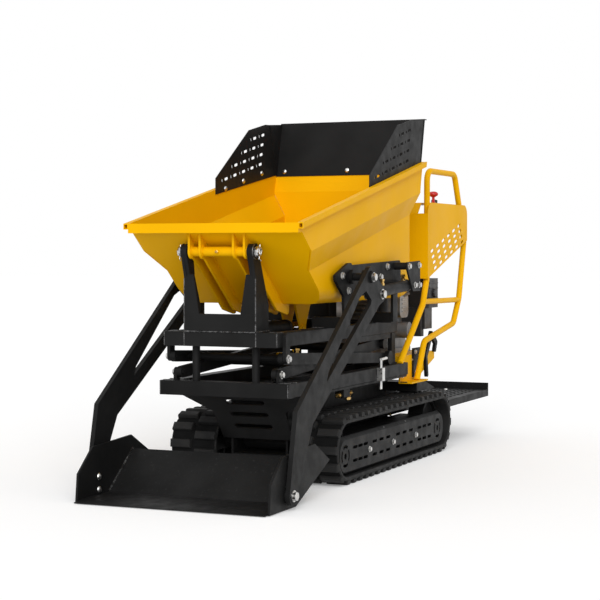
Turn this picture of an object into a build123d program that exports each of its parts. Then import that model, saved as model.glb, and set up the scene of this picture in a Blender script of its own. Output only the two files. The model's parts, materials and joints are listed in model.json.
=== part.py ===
from build123d import *
import math
import os

# Self-loading tracked dumper, millimetres. X is the left side of the machine, -Y its front, Z up.
# Every Y below is counted from NOSE, the front face of the lower frame.
NOSE = -870.0

# tracks
TRACK_WIDTH = 180.0
TRACK_OUTER = 328.0
TRACK_HEIGHT = 248.0
WHEEL_BASE = 1050.0
WHEEL_Y = NOSE + 352.0
BELT = 14.0
LUG = 14.0

# hopper
SHEET = 4.0
BAND_HALF = 320.0
BAND_HEIGHT = 118.0
CHAMFER_IN = 46.0
CHAMFER_DOWN = 87.0
RIM_FRONT = NOSE - 88.0
RIM_Z = 926.0
RIM_RISE = 0.209
HOPPER_LENGTH = 1256.0
HOPPER_REAR = RIM_FRONT + HOPPER_LENGTH
FLOOR_Z = 645.0
TIP_Y = NOSE - 25.0
TIP_Z = 830.0

# frames of square tube, both as long as the hopper needs
TUBE = 50.0
LOW_HALF = 245.0
LOW_Z = 332.0
UP_HALF = 215.0
UP_FRONT = NOSE - 25.0
UP_Z = 505.0
UP_REAR = HOPPER_REAR - 4.0
REAR = UP_REAR + 42.0

# scissor lift between the frames
BAR = 40.0
LIFT_Y = NOSE + 40.0
LIFT_RISE = 55.0
LIFT_RUN = UP_REAR - 126.0 - LIFT_Y
LIFT_LOW_Z = 410.0

# loader, outside the hopper's lower sides
MOUNT_GAP = 14.0
MOUNT_PLATE = 10.0
MOUNT_X = BAND_HALF - CHAMFER_IN + MOUNT_GAP
RAM_X = MOUNT_X + 40.0
ARM_X = RAM_X + 32.0
ARM_PLATE = 16.0
ARM_PIN = 14.0
ARM_Y = NOSE + 443.0
ARM_Z = 739.0
TOE_Y = NOSE - 254.0
TOE_Z = 47.0
SHOVEL_HALF = ARM_X - 7.0
SHOVEL_PLATE = 8.0
SHOVEL_EDGE = NOSE - 410.0

# rear of the machine
HOOD_HALF = 255.0
HOOD_LENGTH = 540.0
HOOD_FRONT = REAR + 219.0
HOOD_REAR = HOOD_FRONT + HOOD_LENGTH
HOOD_TOP = 1035.0
GUARD_X = 239.4
GUARD_R = 12.5
STEP_HALF = 300.0
STEP_LENGTH = 579.0
STEP_Z = 200.0

# running fit between a pin and its eye, and the rod that shows on a closed cylinder
FIT = 0.06
ROD_SHOWN = 82.0

LEFT_RIGHT = (1, -1)
LOW_TOP = LOW_Z + TUBE
UP_TOP = UP_Z + TUBE


def block(x0, x1, y0, y1, z0, z1, mode=Mode.ADD):
    """A box between two corners."""
    with Locations(((x0 + x1) / 2, (y0 + y1) / 2, (z0 + z1) / 2)):
        Box(abs(x1 - x0), abs(y1 - y0), abs(z1 - z0), mode=mode)


def plate(x0, x1, points, mode=Mode.ADD):
    """A plate that stands fore and aft between x0 and x1, cut to an outline of (y, z) points."""
    low, high = min(x0, x1), max(x0, x1)
    with BuildSketch(Plane.YZ.offset(low)) as face:
        with BuildLine():
            Polyline(*points, close=True)
        make_face()
    extrude(face.sketch, amount=high - low, mode=mode)


def pin(x0, x1, y, z, radius, mode=Mode.ADD):
    """A round bar across the machine."""
    low, high = min(x0, x1), max(x0, x1)
    with BuildSketch(Plane.YZ.offset(low)) as face:
        with Locations((y, z)):
            Circle(radius)
    extrude(face.sketch, amount=high - low, mode=mode)


def strap(x0, x1, first, last, width, mode=Mode.ADD):
    """A flat bar with round ends, lying fore and aft between two (y, z) points."""
    low, high = min(x0, x1), max(x0, x1)
    run = last[0] - first[0]
    rise = last[1] - first[1]
    middle = ((first[0] + last[0]) / 2, (first[1] + last[1]) / 2)
    with BuildSketch(Plane.YZ.offset(low)) as face:
        with Locations(middle):
            SlotCenterToCenter(math.hypot(run, rise), width, rotation=math.degrees(math.atan2(rise, run)))
    extrude(face.sketch, amount=high - low, mode=mode)


def shaft(x, start, end, radius, mode=Mode.ADD):
    """A round bar in a fore and aft plane, from one (y, z) point to another."""
    run = end[0] - start[0]
    rise = end[1] - start[1]
    base = Plane(origin=(x, start[0], start[1]), x_dir=(1, 0, 0), z_dir=(0, run, rise))
    with BuildSketch(base) as face:
        Circle(radius)
    extrude(face.sketch, amount=math.hypot(run, rise), mode=mode)


def along(start, end, distance):
    """The (y, z) point at a distance along the line from start to end."""
    run = end[0] - start[0]
    rise = end[1] - start[1]
    length = math.hypot(run, rise)
    return (start[0] + run * distance / length, start[1] + rise * distance / length)


def rim_z(y):
    """Height of the hopper's rim, which climbs to the rear."""
    return RIM_Z + RIM_RISE * (y - RIM_FRONT)


os.makedirs("parts", exist_ok=True)

# lower frame

with BuildPart() as lower_side_beams:
    for side in LEFT_RIGHT:
        block(side * (LOW_HALF - TUBE), side * LOW_HALF, NOSE + TUBE, REAR, LOW_Z, LOW_TOP)
    fillet(lower_side_beams.edges().filter_by(Axis.Y), radius=4)
lower_side_beams.part.label = "lower_side_beams"
export_step(lower_side_beams.part, "parts/lower_side_beams.step")

LIFT_BASE = (REAR - 206, 345)
with BuildPart() as lower_crossbeams:
    block(-LOW_HALF, LOW_HALF, NOSE, NOSE + TUBE, LOW_Z, LOW_TOP)
    rear_y = REAR
    block(-LOW_HALF + TUBE, LOW_HALF - TUBE, rear_y - TUBE, rear_y, LOW_Z, LOW_TOP)
    for side in LEFT_RIGHT:
        strap(side * 32, side * 42, LIFT_BASE, (rear_y - TUBE, 352), 44)
    block(-42, 42, rear_y - TUBE, rear_y - 1, LOW_Z, LOW_TOP)
    pin(-42, 42, LIFT_BASE[0], LIFT_BASE[1], 10)
lower_crossbeams.part.label = "lower_crossbeams"
export_step(lower_crossbeams.part, "parts/lower_crossbeams.step")

with BuildPart() as rest_posts:
    with Locations((114, NOSE + 25, LOW_TOP), (-114, NOSE + 25, LOW_TOP)):
        Cylinder(13.5, UP_Z - LOW_TOP - 0.3, align=(Align.CENTER, Align.CENTER, Align.MIN))
    for side in LEFT_RIGHT:
        block(side * 196, side * 214, UP_REAR - 64, UP_REAR - 24, LOW_TOP, UP_Z - 0.3)
rest_posts.part.label = "rest_posts"
export_step(rest_posts.part, "parts/rest_posts.step")

with BuildPart() as lift_pivots:
    for side in LEFT_RIGHT:
        pin(side * 190.6, side * 202.6, LIFT_Y, LIFT_LOW_Z, 17)
        block(side * 190.6, side * 202.6, LIFT_Y - 17, LIFT_Y + 10, LOW_TOP, LIFT_LOW_Z)
        pin(side * 168, side * 196, LIFT_Y, LIFT_LOW_Z, 10)
lift_pivots.part.label = "lift_pivots"
export_step(lift_pivots.part, "parts/lift_pivots.step")

# undercarriage

TRACK_MID = TRACK_OUTER - TRACK_WIDTH / 2
FRAME_HALF = 50.0
TUB_GAP = 36.0
TUB_SHEET = 8.0
TUB_HALF = TRACK_OUTER - TRACK_WIDTH - TUB_GAP
TUB_INNER = TUB_HALF - TUB_SHEET
TUB_FRONT = NOSE + 300
TUB_REAR = WHEEL_Y + WHEEL_BASE - 72
AXLE_Z = TRACK_HEIGHT / 2
AXLE_R = 24.0
AXLE_HALF = TRACK_MID - FRAME_HALF
AXLE_TUBE_Z = AXLE_Z + 4
AXLE_YS = (WHEEL_Y + 70, TUB_REAR - 58)
with BuildPart() as chassis_tub:
    with BuildSketch(Plane.XZ.offset(-TUB_FRONT)):
        with BuildLine():
            Polyline((-240, LOW_Z), (-240, LOW_Z - TUB_SHEET), (-TUB_HALF, LOW_Z - TUB_SHEET),
                     (-TUB_HALF, 92),
                     (TUB_HALF, 92), (TUB_HALF, LOW_Z - TUB_SHEET), (240, LOW_Z - TUB_SHEET), (240, LOW_Z),
                     (TUB_INNER, LOW_Z), (TUB_INNER, 92 + TUB_SHEET), (-TUB_INNER, 92 + TUB_SHEET),
                     (-TUB_INNER, LOW_Z), close=True)
        make_face()
    extrude(amount=-(TUB_REAR - TUB_FRONT))
    for y in AXLE_YS:
        pin(-TUB_HALF - 8, TUB_HALF + 8, y, AXLE_TUBE_Z, AXLE_R + FIT, mode=Mode.SUBTRACT)
    for side in LEFT_RIGHT:
        block(side * TUB_HALF, side * 250, REAR, TUB_REAR, LOW_Z - TUB_SHEET - 1, LOW_Z + 1,
              mode=Mode.SUBTRACT)
chassis_tub.part.label = "chassis_tub"
export_step(chassis_tub.part, "parts/chassis_tub.step")

with BuildPart() as axle_tubes:
    for y in AXLE_YS:
        pin(-AXLE_HALF, AXLE_HALF, y, AXLE_TUBE_Z, AXLE_R)
axle_tubes.part.label = "axle_tubes"
export_step(axle_tubes.part, "parts/axle_tubes.step")

# sloping guard plate under the nose, with three slots
GUARD_TOP = (NOSE + 150, LOW_Z)
GUARD_LOW = (NOSE + 290, 156)
guard_plane = Plane(
    origin=(0, GUARD_TOP[0], GUARD_TOP[1]),
    x_dir=(1, 0, 0),
    z_dir=(0, GUARD_TOP[1] - GUARD_LOW[1], GUARD_LOW[0] - GUARD_TOP[0]),
)
guard_length = math.hypot(GUARD_LOW[0] - GUARD_TOP[0], GUARD_LOW[1] - GUARD_TOP[1])
with BuildPart() as nose_guard:
    with BuildSketch(guard_plane):
        with BuildLine():
            Polyline((-240, 0), (-240, 20), (-TUB_HALF - 28, guard_length * 0.42),
                     (-TUB_HALF - 26, guard_length),
                     (TUB_HALF + 26, guard_length), (TUB_HALF + 28, guard_length * 0.42),
                     (240, 20), (240, 0),
                     close=True)
        make_face()
        with Locations((0, guard_length * 0.2), (0, guard_length * 0.46), (0, guard_length * 0.72)):
            SlotOverall(150, 22, mode=Mode.SUBTRACT)
    extrude(amount=6)
    block(-240, 240, GUARD_TOP[0] - 20, GUARD_TOP[0] + 12, LOW_Z - 6, LOW_Z)
    block(-250, 250, NOSE, NOSE + 400, LOW_Z, LOW_TOP, mode=Mode.SUBTRACT)
nose_guard.part.label = "nose_guard"
export_step(nose_guard.part, "parts/nose_guard.step")

# rubber tracks
BELT_R = TRACK_HEIGHT / 2 - LUG
TRACK_CENTRE = WHEEL_Y + WHEEL_BASE / 2
LUG_COUNT = 46
LUG_ALONG = 30.0


def track_place(distance):
    """Point and outward direction on the belt's outer face, a distance along it from the top front."""
    arc = math.pi * BELT_R
    loop = 2 * WHEEL_BASE + 2 * arc
    distance = distance % loop
    if distance < WHEEL_BASE:
        return (WHEEL_Y + distance, AXLE_Z + BELT_R, 90.0)
    distance -= WHEEL_BASE
    if distance < arc:
        turn = 90.0 - math.degrees(distance / BELT_R)
        centre = WHEEL_Y + WHEEL_BASE
        return (centre + BELT_R * math.cos(math.radians(turn)),
                AXLE_Z + BELT_R * math.sin(math.radians(turn)), turn)
    distance -= arc
    if distance < WHEEL_BASE:
        return (WHEEL_Y + WHEEL_BASE - distance, AXLE_Z - BELT_R, -90.0)
    distance -= WHEEL_BASE
    turn = -90.0 - math.degrees(distance / BELT_R)
    return (WHEEL_Y + BELT_R * math.cos(math.radians(turn)),
            AXLE_Z + BELT_R * math.sin(math.radians(turn)), turn)


with BuildPart() as track_left:
    with BuildSketch(Plane.YZ.offset(TRACK_OUTER - TRACK_WIDTH)):
        with Locations((TRACK_CENTRE, AXLE_Z)):
            SlotCenterToCenter(WHEEL_BASE, 2 * BELT_R)
            SlotCenterToCenter(WHEEL_BASE, 2 * (BELT_R - BELT), mode=Mode.SUBTRACT)
    extrude(amount=TRACK_WIDTH)
    loop_length = 2 * WHEEL_BASE + 2 * math.pi * BELT_R
    pitch = loop_length / LUG_COUNT
    for column, x0, x1 in ((0.0, 0.0, 84.0), (0.5, 96.0, TRACK_WIDTH)):
        with BuildSketch(Plane.YZ.offset(TRACK_OUTER - TRACK_WIDTH + x0)):
            for shoe in range(LUG_COUNT):
                lug_y, lug_z, lug_turn = track_place((shoe + column) * pitch)
                with Locations(Location((lug_y, lug_z), lug_turn)):
                    with Locations((LUG / 2 - 4, 0)):
                        Rectangle(LUG + 8, LUG_ALONG)
        extrude(amount=x1 - x0)
    with BuildSketch(Plane.YZ.offset(TRACK_OUTER - TRACK_WIDTH - 1)):
        with Locations((TRACK_CENTRE, AXLE_Z)):
            SlotCenterToCenter(WHEEL_BASE + 400, TRACK_HEIGHT + 200)
            SlotCenterToCenter(WHEEL_BASE, TRACK_HEIGHT, mode=Mode.SUBTRACT)
    extrude(amount=TRACK_WIDTH + 2, mode=Mode.SUBTRACT)
track_left.part.label = "track_left"
export_step(track_left.part, "parts/track_left.step")

with BuildPart() as track_right:
    mirror(track_left.part, about=Plane.YZ)
track_right.part.label = "track_right"
export_step(track_right.part, "parts/track_right.step")

# channel frames inside the tracks
WHEEL_END = WHEEL_Y + WHEEL_BASE
with BuildPart() as track_frames:
    for side in LEFT_RIGHT:
        for wall in (-1, 1):
            x0 = side * TRACK_MID + wall * (FRAME_HALF - 6)
            x1 = side * TRACK_MID + wall * FRAME_HALF
            plate(x0, x1, [(WHEEL_Y - 34, AXLE_Z - 22), (WHEEL_Y + 120, AXLE_Z - 22),
                           (WHEEL_Y + 160, 52), (WHEEL_END - 160, 52), (WHEEL_END - 120, AXLE_Z - 22),
                           (WHEEL_END + 34, AXLE_Z - 22), (WHEEL_END + 34, AXLE_Z + 22),
                           (WHEEL_END - 130, AXLE_Z + 42), (WHEEL_Y + 130, AXLE_Z + 42),
                           (WHEEL_Y - 34, AXLE_Z + 22)])
        block(side * TRACK_MID - FRAME_HALF, side * TRACK_MID + FRAME_HALF,
              WHEEL_Y + 130, WHEEL_END - 130, AXLE_Z + 34, AXLE_Z + 42)
track_frames.part.label = "track_frames"
export_step(track_frames.part, "parts/track_frames.step")

RUN_R = BELT_R - BELT - 0.4
with BuildPart() as track_wheels:
    for side in LEFT_RIGHT:
        for y in (WHEEL_Y, WHEEL_END):
            pin(side * TRACK_MID - 32, side * TRACK_MID + 32, y, AXLE_Z, RUN_R)
            pin(side * TRACK_MID - 43.7, side * TRACK_MID + 43.7, y, AXLE_Z, 18)
            for wall in (-1, 1):
                x0 = side * TRACK_MID + wall * 20
                x1 = side * TRACK_MID + wall * 34
                with BuildSketch(Plane.YZ.offset(min(x0, x1))):
                    with Locations((y, AXLE_Z)):
                        Circle(RUN_R - 14)
                        Circle(32, mode=Mode.SUBTRACT)
                extrude(amount=14, mode=Mode.SUBTRACT)
track_wheels.part.label = "track_wheels"
export_step(track_wheels.part, "parts/track_wheels.step")

ROLLER_R = 34.0
ROLLER_Z = LUG + BELT + 0.4 + ROLLER_R
with BuildPart() as road_rollers:
    for side in LEFT_RIGHT:
        for step in range(5):
            y = WHEEL_Y + 205 + step * (WHEEL_BASE - 410) / 4
            pin(side * TRACK_MID - 38, side * TRACK_MID + 38, y, ROLLER_Z, ROLLER_R)
            pin(side * TRACK_MID - 43.7, side * TRACK_MID + 43.7, y, ROLLER_Z, 9)
road_rollers.part.label = "road_rollers"
export_step(road_rollers.part, "parts/road_rollers.step")

# pressed covers over the outer side of the track frames: a dished face with a ring of slots at each end and
# dashes in threes between the bolts
COVER_X0 = TRACK_MID + FRAME_HALF
COVER_FRONT = WHEEL_Y - 78
COVER_REAR = WHEEL_END + 43
COVER_LOW = 34.0
COVER_TOP = 172.0
COVER_FACE = COVER_X0 + 31
COVER_DEPTH = 14.0
COVER_SHEET = 4.0
COVER_MID = ((COVER_FRONT + COVER_REAR) / 2, (COVER_LOW + COVER_TOP) / 2)
COVER_BOLTS = [WHEEL_Y + 225, WHEEL_Y + WHEEL_BASE / 2 - 47, WHEEL_END - 311]
COVER_RINGS = [COVER_FRONT + 64, COVER_REAR - 85]
DASH = 46.0


def cover_dish(plane, gap):
    """The dished form of a track cover, all round smaller by a gap."""
    with BuildSketch(plane) as face:
        with Locations(COVER_MID):
            RectangleRounded(COVER_REAR - COVER_FRONT - 2 * gap, COVER_TOP - COVER_LOW - 2 * gap, 62 - gap)
    return face.sketch


def cover_cuts(plane):
    """The slots in a track cover's face."""
    stops = [COVER_RINGS[0] + 56, *COVER_BOLTS, COVER_RINGS[1] - 56]
    dashes = []
    for first, last in zip(stops, stops[1:]):
        for step in range(3):
            y = first + (last - first) * (step + 0.75) / 3.5
            dashes += [(y, COVER_MID[1] - 24), (y, COVER_MID[1] + 24)]
    with BuildSketch(plane) as cuts:
        with Locations(*dashes):
            SlotOverall(DASH, 11)
        for y in COVER_RINGS:
            with Locations((y, COVER_MID[1])):
                Circle(40)
                Circle(29, mode=Mode.SUBTRACT)
                Rectangle(100, 13, rotation=45, mode=Mode.SUBTRACT)
                Rectangle(100, 13, rotation=-45, mode=Mode.SUBTRACT)
                Circle(11)
    return cuts.sketch


with BuildPart() as track_covers:
    base = Plane.YZ.offset(COVER_FACE - COVER_DEPTH)
    extrude(cover_dish(base, 0), amount=COVER_DEPTH, taper=40)
    extrude(cover_dish(base, COVER_SHEET), amount=COVER_DEPTH - COVER_SHEET, taper=40, mode=Mode.SUBTRACT)
    extrude(cover_cuts(Plane.YZ.offset(COVER_FACE - COVER_SHEET - 1)), amount=COVER_SHEET + 2,
            mode=Mode.SUBTRACT)
    for y in COVER_BOLTS:
        pin(COVER_X0, COVER_FACE - COVER_SHEET, y, COVER_MID[1], 12)
    mirror(about=Plane.YZ)
track_covers.part.label = "track_covers"
export_step(track_covers.part, "parts/track_covers.step")

# rear deck, engine and controls

DECK_REAR = REAR + 434
with BuildPart() as engine_deck:
    rear_y = REAR
    for side in LEFT_RIGHT:
        plate(side * 205, side * 211, [(rear_y, 300), (rear_y, 404), (DECK_REAR, 404), (DECK_REAR, 372),
                                       (REAR + 204, 300)])
        block(side * 205, side * 262, rear_y, REAR + 204, 300 - 6, 300)
    block(-211, 211, rear_y, DECK_REAR, 404 - 6, 404)
    block(-211, 211, rear_y, rear_y + 6, LOW_Z, 404)
engine_deck.part.label = "engine_deck"
export_step(engine_deck.part, "parts/engine_deck.step")

with BuildPart() as rear_box:
    plate(-240, 240, [(TUB_REAR, 252), (TUB_REAR, 290), (TUB_REAR + 100, 290), (TUB_REAR + 230, 252)])
    block(-TUB_HALF, TUB_HALF, TUB_REAR, TUB_REAR + 100, 150, 252)
    block(-45, 45, TUB_REAR + 100, TUB_REAR + 170, 190, 206)
    with Locations((0, TUB_REAR + 140, 198)):
        Cylinder(11, 20, mode=Mode.SUBTRACT)
rear_box.part.label = "rear_box"
export_step(rear_box.part, "parts/rear_box.step")

with BuildPart() as engine:
    block(-110, 120, REAR + 104, REAR + 384, 404, 424)
    block(-95, 105, REAR + 124, REAR + 364, 424, 560)
    with Locations(Location((0, REAR + 194, 540), (25, 0, 0))):
        Box(130, 110, 190, align=(Align.CENTER, Align.CENTER, Align.MIN))
        for fin in range(7):
            with Locations((0, 0, 50 + fin * 21)):
                Box(160, 140, 6)
    with BuildSketch(Plane.YZ.offset(-150)):
        with Locations((REAR + 244, 520)):
            Circle(112)
    extrude(amount=60)
    pin(105, 165, REAR + 244, 500, 34)
engine.part.label = "engine"
export_step(engine.part, "parts/engine.step")

with BuildPart() as fuel_tank:
    block(-150, 95, REAR + 264, REAR + 454, 640, 735)
    fillet(fuel_tank.edges(), radius=22)
    with Locations((-30, REAR + 359, 735)):
        Cylinder(28, 20, align=(Align.CENTER, Align.CENTER, Align.MIN))
    block(-80, -50, REAR + 294, REAR + 334, 560, 645)
    block(20, 50, REAR + 294, REAR + 334, 560, 645)
fuel_tank.part.label = "fuel_tank"
export_step(fuel_tank.part, "parts/fuel_tank.step")

with BuildPart() as air_cleaner:
    block(115, 215, REAR + 339, REAR + 484, 590, 715)
    fillet(air_cleaner.edges().filter_by(Axis.Z), radius=18)
    block(105.2, 190, REAR + 314, REAR + 354, 470, 592)
    block(120, 200, REAR + 339, REAR + 434, 500, 592)
air_cleaner.part.label = "air_cleaner"
export_step(air_cleaner.part, "parts/air_cleaner.step")

with BuildPart() as muffler:
    block(100, 205, REAR + 16, REAR + 116, 560, 660)
    fillet(muffler.edges().filter_by(Axis.X), radius=24)
    shaft(130, (REAR + 69, 430), (REAR + 69, 570), 16)
    block(110, 150, REAR + 49, REAR + 89, 404, 434)
muffler.part.label = "muffler"
export_step(muffler.part, "parts/muffler.step")

with BuildPart() as hydraulic_tank:
    block(-205, -100, REAR + 6, REAR + 94, 404, 640)
    fillet(hydraulic_tank.edges().filter_by(Axis.Z), radius=16)
    with Locations((-152, REAR + 50, 640)):
        Cylinder(24, 22, align=(Align.CENTER, Align.CENTER, Align.MIN))
hydraulic_tank.part.label = "hydraulic_tank"
export_step(hydraulic_tank.part, "parts/hydraulic_tank.step")

# perforated hood around the controls, with slots that follow its raked lower edge
HOOD_LOW = 717.0
HOOD_LOW_REAR = 880.0
HOOD_RAKE = (HOOD_LOW_REAR - HOOD_LOW) / HOOD_LENGTH
with BuildPart() as hood:
    for side in LEFT_RIGHT:
        low = HOOD_HALF - 3 if side > 0 else -HOOD_HALF
        with BuildSketch(Plane.YZ.offset(low)) as panel:
            with BuildLine():
                Polyline((HOOD_FRONT, HOOD_LOW), (HOOD_FRONT, HOOD_TOP), (HOOD_REAR, HOOD_TOP),
                         (HOOD_REAR, HOOD_LOW_REAR), close=True)
            make_face()
            fillet(panel.vertices().group_by(Axis.Y)[-1], radius=45)
            slots = []
            for row in range(4):
                for step in range(6):
                    y = 56 + 15 * row + 73 * step
                    slots.append((HOOD_FRONT + y, HOOD_LOW + 99 - 28 * row + HOOD_RAKE * y))
            with Locations(*slots):
                SlotOverall(40, 13, rotation=math.degrees(math.atan(HOOD_RAKE)), mode=Mode.SUBTRACT)
        extrude(amount=3)
    block(-HOOD_HALF + 3, HOOD_HALF - 3, HOOD_FRONT, HOOD_FRONT + 3, HOOD_LOW, HOOD_TOP - 46)
    plate(-HOOD_HALF + 45, HOOD_HALF - 45, [
        (HOOD_FRONT, HOOD_TOP - 60), (HOOD_FRONT, HOOD_TOP - 45), (HOOD_FRONT + 45, HOOD_TOP),
        (HOOD_FRONT + 330, HOOD_TOP), (HOOD_FRONT + 330, HOOD_TOP - 3), (HOOD_FRONT + 46, HOOD_TOP - 3),
        (HOOD_FRONT + 3, HOOD_TOP - 46), (HOOD_FRONT + 3, HOOD_TOP - 60)])
hood.part.label = "hood"
export_step(hood.part, "parts/hood.step")

GUARD_PATH = [
    (REAR - 81, LOW_TOP), (REAR + 199, 610), (REAR + 250, 720), (REAR + 250, 1168), (REAR + 620, 1168),
    (REAR + 760, 881), (REAR + 689, 625), (REAR + 609, 516), (REAR + 217, 456), (REAR + 128, 300),
]
with BuildPart() as guard_left:
    with BuildLine(Plane.YZ.offset(GUARD_X)):
        FilletPolyline(*GUARD_PATH, radius=45)
    start = Vector(0, GUARD_PATH[1][0] - GUARD_PATH[0][0], GUARD_PATH[1][1] - GUARD_PATH[0][1])
    with BuildSketch(Plane(origin=(GUARD_X, *GUARD_PATH[0]), x_dir=(1, 0, 0), z_dir=start)):
        Circle(GUARD_R)
    sweep()
    shaft(GUARD_X, (REAR + 206, 621), (REAR + 684, 617), GUARD_R - 1)
    block(205, 270, REAR - 126, REAR - 46, LOW_TOP - 30, LOW_TOP, mode=Mode.SUBTRACT)
    block(205, 270, REAR + 74, REAR + 184, 260, 300, mode=Mode.SUBTRACT)
guard_left.part.label = "guard_left"
export_step(guard_left.part, "parts/guard_left.step")

with BuildPart() as guard_right:
    mirror(guard_left.part, about=Plane.YZ)
guard_right.part.label = "guard_right"
export_step(guard_right.part, "parts/guard_right.step")

with BuildPart() as controls:
    block(-HOOD_HALF + 3, HOOD_HALF - 3, HOOD_FRONT + 250, HOOD_FRONT + 420, 905, 911)
    block(-90, 90, HOOD_FRONT + 290, HOOD_FRONT + 370, 840, 905)
    for x in (-60, -20, 20, 60):
        shaft(x, (HOOD_FRONT + 330, 905), (HOOD_FRONT + 345, 1010), 5)
        with Locations((x, HOOD_FRONT + 345, 1012)):
            Sphere(13)
    for side in LEFT_RIGHT:
        shaft(side * 150, (HOOD_FRONT + 360, 905), (HOOD_FRONT + 380, HOOD_TOP - 20), 7)
        shaft(side * 150, (HOOD_FRONT + 378, HOOD_TOP - 30), (HOOD_FRONT + 394, HOOD_TOP + 20), 14)
controls.part.label = "controls"
export_step(controls.part, "parts/controls.step")

with BuildPart() as stop_knob:
    with Locations((180, HOOD_FRONT + 290, HOOD_TOP)):
        Cylinder(11, 40, align=(Align.CENTER, Align.CENTER, Align.MIN))
    with Locations((180, HOOD_FRONT + 290, HOOD_TOP + 40)):
        Cylinder(20, 16, align=(Align.CENTER, Align.CENTER, Align.MIN))
stop_knob.part.label = "stop_knob"
export_step(stop_knob.part, "parts/stop_knob.step")

# operator's step with a raised lip at the rear
STEP_FRONT = TUB_REAR + 241
STEP_REAR = STEP_FRONT + STEP_LENGTH
with BuildPart() as platform:
    block(-STEP_HALF, STEP_HALF, STEP_FRONT, STEP_REAR, STEP_Z - 5, STEP_Z)
    block(-STEP_HALF, STEP_HALF, STEP_REAR - 4, STEP_REAR, STEP_Z - 30, STEP_Z + 30)
    for side in LEFT_RIGHT:
        block(side * STEP_HALF, side * (STEP_HALF - 4), STEP_FRONT, STEP_REAR, STEP_Z - 30, STEP_Z - 5)
platform.part.label = "platform"
export_step(platform.part, "parts/platform.step")

with BuildPart() as platform_arms:
    for side in LEFT_RIGHT:
        block(side * TUB_HALF, side * (TUB_HALF + 28), TUB_REAR - 180, STEP_REAR - 60,
              STEP_Z - 45, STEP_Z - 5)
platform_arms.part.label = "platform_arms"
export_step(platform_arms.part, "parts/platform_arms.step")

# hook behind the deck
with BuildPart() as rear_hook:
    hook_y = REAR + 204
    block(211, 219, hook_y - 60, hook_y + 30, 310, 430)
    strap(212, 220, (hook_y + 10, 395), (hook_y + 90, 390), 26)
    strap(212, 225, (hook_y + 90, 390), (hook_y + 160, 480), 24)
    strap(212, 225, (hook_y + 160, 480), (hook_y + 220, 440), 24)
    strap(212, 225, (hook_y + 220, 440), (hook_y + 206, 410), 20)
    strap(212, 225, (hook_y + 90, 390), (hook_y + 104, 310), 20)
rear_hook.part.label = "rear_hook"
export_step(rear_hook.part, "parts/rear_hook.step")

with BuildPart() as lock_pins:
    for side in LEFT_RIGHT:
        block(side * LOW_HALF, side * (LOW_HALF + 24), NOSE + 846, NOSE + 874, LOW_Z, LOW_TOP)
        with Locations((side * (LOW_HALF + 12), NOSE + 860, 300)):
            Cylinder(6, 118, align=(Align.CENTER, Align.CENTER, Align.MIN))
        shaft(side * (LOW_HALF + 12), (NOSE + 855, 414), (NOSE + 920, 416), 6)
lock_pins.part.label = "lock_pins"
export_step(lock_pins.part, "parts/lock_pins.step")

# scissor lift

ROLL_TOP_R = 19.7
ROLL_LOW_R = LIFT_LOW_Z - LOW_TOP - 0.3
A_FRONT = (LIFT_Y, LIFT_LOW_Z)
A_REAR = (LIFT_Y + LIFT_RUN, LIFT_LOW_Z + LIFT_RISE)
B_FRONT = (LIFT_Y, LIFT_LOW_Z + LIFT_RISE)
B_REAR = (LIFT_Y + LIFT_RUN, LIFT_LOW_Z)
CENTRE = ((A_FRONT[0] + A_REAR[0]) / 2, (A_FRONT[1] + A_REAR[1]) / 2)
LIFT_EYE = along(A_FRONT, A_REAR, 470)
A_TUBE = along(A_FRONT, A_REAR, 370)
A_TUBE_REAR = along(A_FRONT, A_REAR, LIFT_RUN - 138)
B_TUBE = along(B_FRONT, B_REAR, 100)

with BuildPart() as scissor_inner:
    for side in LEFT_RIGHT:
        strap(side * 172, side * 190, A_FRONT, A_REAR, BAR)
        pin(side * 170, side * 191, A_FRONT[0], A_FRONT[1], 10 + FIT, mode=Mode.SUBTRACT)
    for side in LEFT_RIGHT:
        pin(side * 190, side * 221, CENTRE[0], CENTRE[1], 10)
        pin(side * 214.6, side * 221, CENTRE[0], CENTRE[1], 16)
        pin(side * 190, side * 207, A_REAR[0], A_REAR[1], ROLL_TOP_R)
        strap(side * 24, side * 34, A_TUBE, LIFT_EYE, 40)
        pin(side * 34, side * 40, LIFT_EYE[0], LIFT_EYE[1], 15)
    pin(-172, 172, A_TUBE[0], A_TUBE[1], 18)
    pin(-172, 172, A_TUBE_REAR[0], A_TUBE_REAR[1], 16)
scissor_inner.part.label = "scissor_inner"
export_step(scissor_inner.part, "parts/scissor_inner.step")

with BuildPart() as scissor_outer:
    for side in LEFT_RIGHT:
        strap(side * 196, side * 214, B_FRONT, B_REAR, BAR)
        pin(side * 195, side * 215, B_FRONT[0], B_FRONT[1], 10 + FIT, mode=Mode.SUBTRACT)
        pin(side * 195, side * 215, CENTRE[0], CENTRE[1], 10 + FIT, mode=Mode.SUBTRACT)
    for side in LEFT_RIGHT:
        pin(side * 214, side * 232, B_REAR[0], B_REAR[1], ROLL_LOW_R)
    pin(-196, 196, B_TUBE[0], B_TUBE[1], 14)
scissor_outer.part.label = "scissor_outer"
export_step(scissor_outer.part, "parts/scissor_outer.step")

with BuildPart() as lift_barrel:
    gland = math.dist(LIFT_BASE, LIFT_EYE) - ROD_SHOWN
    shaft(0, along(LIFT_BASE, LIFT_EYE, 12), along(LIFT_BASE, LIFT_EYE, gland), 27)
    pin(-28, 28, LIFT_BASE[0], LIFT_BASE[1], 20)
    shaft(0, along(LIFT_BASE, LIFT_EYE, 40), along(LIFT_BASE, LIFT_EYE, gland + 1), 14.3, mode=Mode.SUBTRACT)
    pin(-30, 30, LIFT_BASE[0], LIFT_BASE[1], 10 + FIT, mode=Mode.SUBTRACT)
lift_barrel.part.label = "lift_barrel"
export_step(lift_barrel.part, "parts/lift_barrel.step")

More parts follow.
